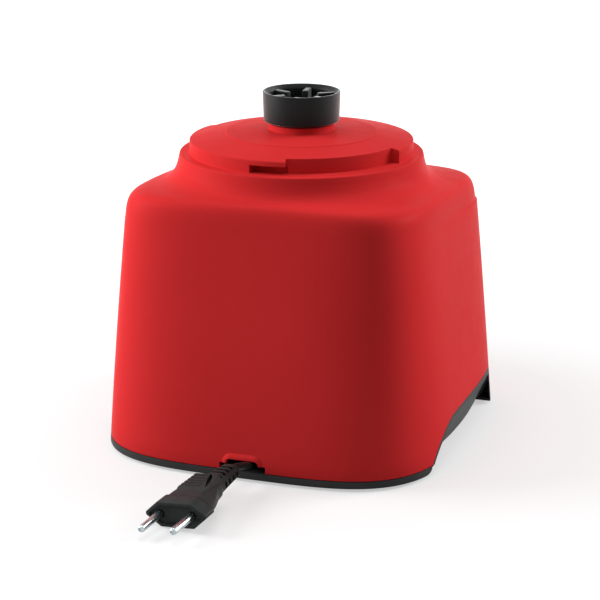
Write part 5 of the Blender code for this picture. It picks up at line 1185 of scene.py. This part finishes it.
# ================================================================ stage
def add_stage():
    """Pale floor that keeps the object's shadow, white surroundings and two soft side lights."""
    floor = primitive("plane", "floor", size=60.0, location=(0.0, 0.0, 0.0))
    material = bpy.data.materials.new("matt white paper")
    material.use_nodes = True
    tree = material.node_tree
    tree.nodes.clear()
    coords = add_node(tree, "ShaderNodeTexCoord")
    paper = noise(tree, coords.outputs["Object"], 0.4, 2.0)
    shade = add_node(tree, "ShaderNodeValToRGB", links={"Fac": paper})
    shade.color_ramp.elements[0].color, shade.color_ramp.elements[1].color = colour("#B2B2B2"), colour("#B6B6B6")
    matt = add_node(tree, "ShaderNodeBsdfDiffuse", links={"Color": shade.outputs["Color"]})
    rays = add_node(tree, "ShaderNodeLightPath")
    seen = add_node(tree, "ShaderNodeMath",
                    links={0: rays.outputs["Is Camera Ray"], 1: rays.outputs["Is Glossy Ray"]}, operation="MAXIMUM")
    away = add_node(tree, "ShaderNodeVectorMath", links={0: coords.outputs["Object"]}, operation="LENGTH")
    level = add_node(tree, "ShaderNodeMapRange",
                     {"From Min": 0.16, "From Max": 0.70, "To Min": 0.50, "To Max": 1.0},
                     {"Value": away.outputs["Value"]})
    lift = add_node(tree, "ShaderNodeMath", links={0: seen.outputs[0], 1: level.outputs["Result"]},
                    operation="MULTIPLY")
    glow = add_node(tree, "ShaderNodeEmission", links={"Strength": lift.outputs[0]})
    both = add_node(tree, "ShaderNodeAddShader", links={0: matt.outputs[0], 1: glow.outputs[0]})
    add_node(tree, "ShaderNodeOutputMaterial", links={"Surface": both.outputs[0]})
    floor.data.materials.append(material)

    world = bpy.data.worlds.new("white surroundings")
    bpy.context.scene.world = world
    world.use_nodes = True
    tree = world.node_tree
    tree.nodes.clear()
    rays = add_node(tree, "ShaderNodeLightPath")
    first = add_node(tree, "ShaderNodeMath",
                     links={0: rays.outputs["Is Camera Ray"], 1: rays.outputs["Is Glossy Ray"]}, operation="MAXIMUM")
    second = add_node(tree, "ShaderNodeMath",
                      links={0: first.outputs[0], 1: rays.outputs["Is Transmission Ray"]}, operation="MAXIMUM")
    strength = add_node(tree, "ShaderNodeMapRange", {"To Min": 0.22, "To Max": 1.0}, {"Value": second.outputs[0]})
    sky = add_node(tree, "ShaderNodeBackground", {"Color": (1.0, 1.0, 1.0, 1.0)},
                   {"Strength": strength.outputs["Result"]})
    add_node(tree, "ShaderNodeOutputWorld", links={"Surface": sky.outputs[0]})

    add_lamp("left soft box", (-0.60, -0.205, 0.34), (0.0, 0.0, 0.10), 0.45, 0.45, 4.75)
    add_lamp("right soft box", (1.64, 1.15, 0.93), (0.0, 0.0, 0.08), 1.0, 1.0, 35.0)
    add_lamp("top soft box", (0.0, -0.05, 1.80), (0.0, 0.0, 0.1), 1.4, 1.4, 11.4)


add_camera()
build_lead(build_plug())
build_housing()
build_tray()
build_feet()
build_base_screws()
build_panel()
build_dial()
build_knob()
build_coupling()
build_springs()
dress_kept_nodes()
add_stage()
bpy.context.scene.view_settings.view_transform = "Standard"
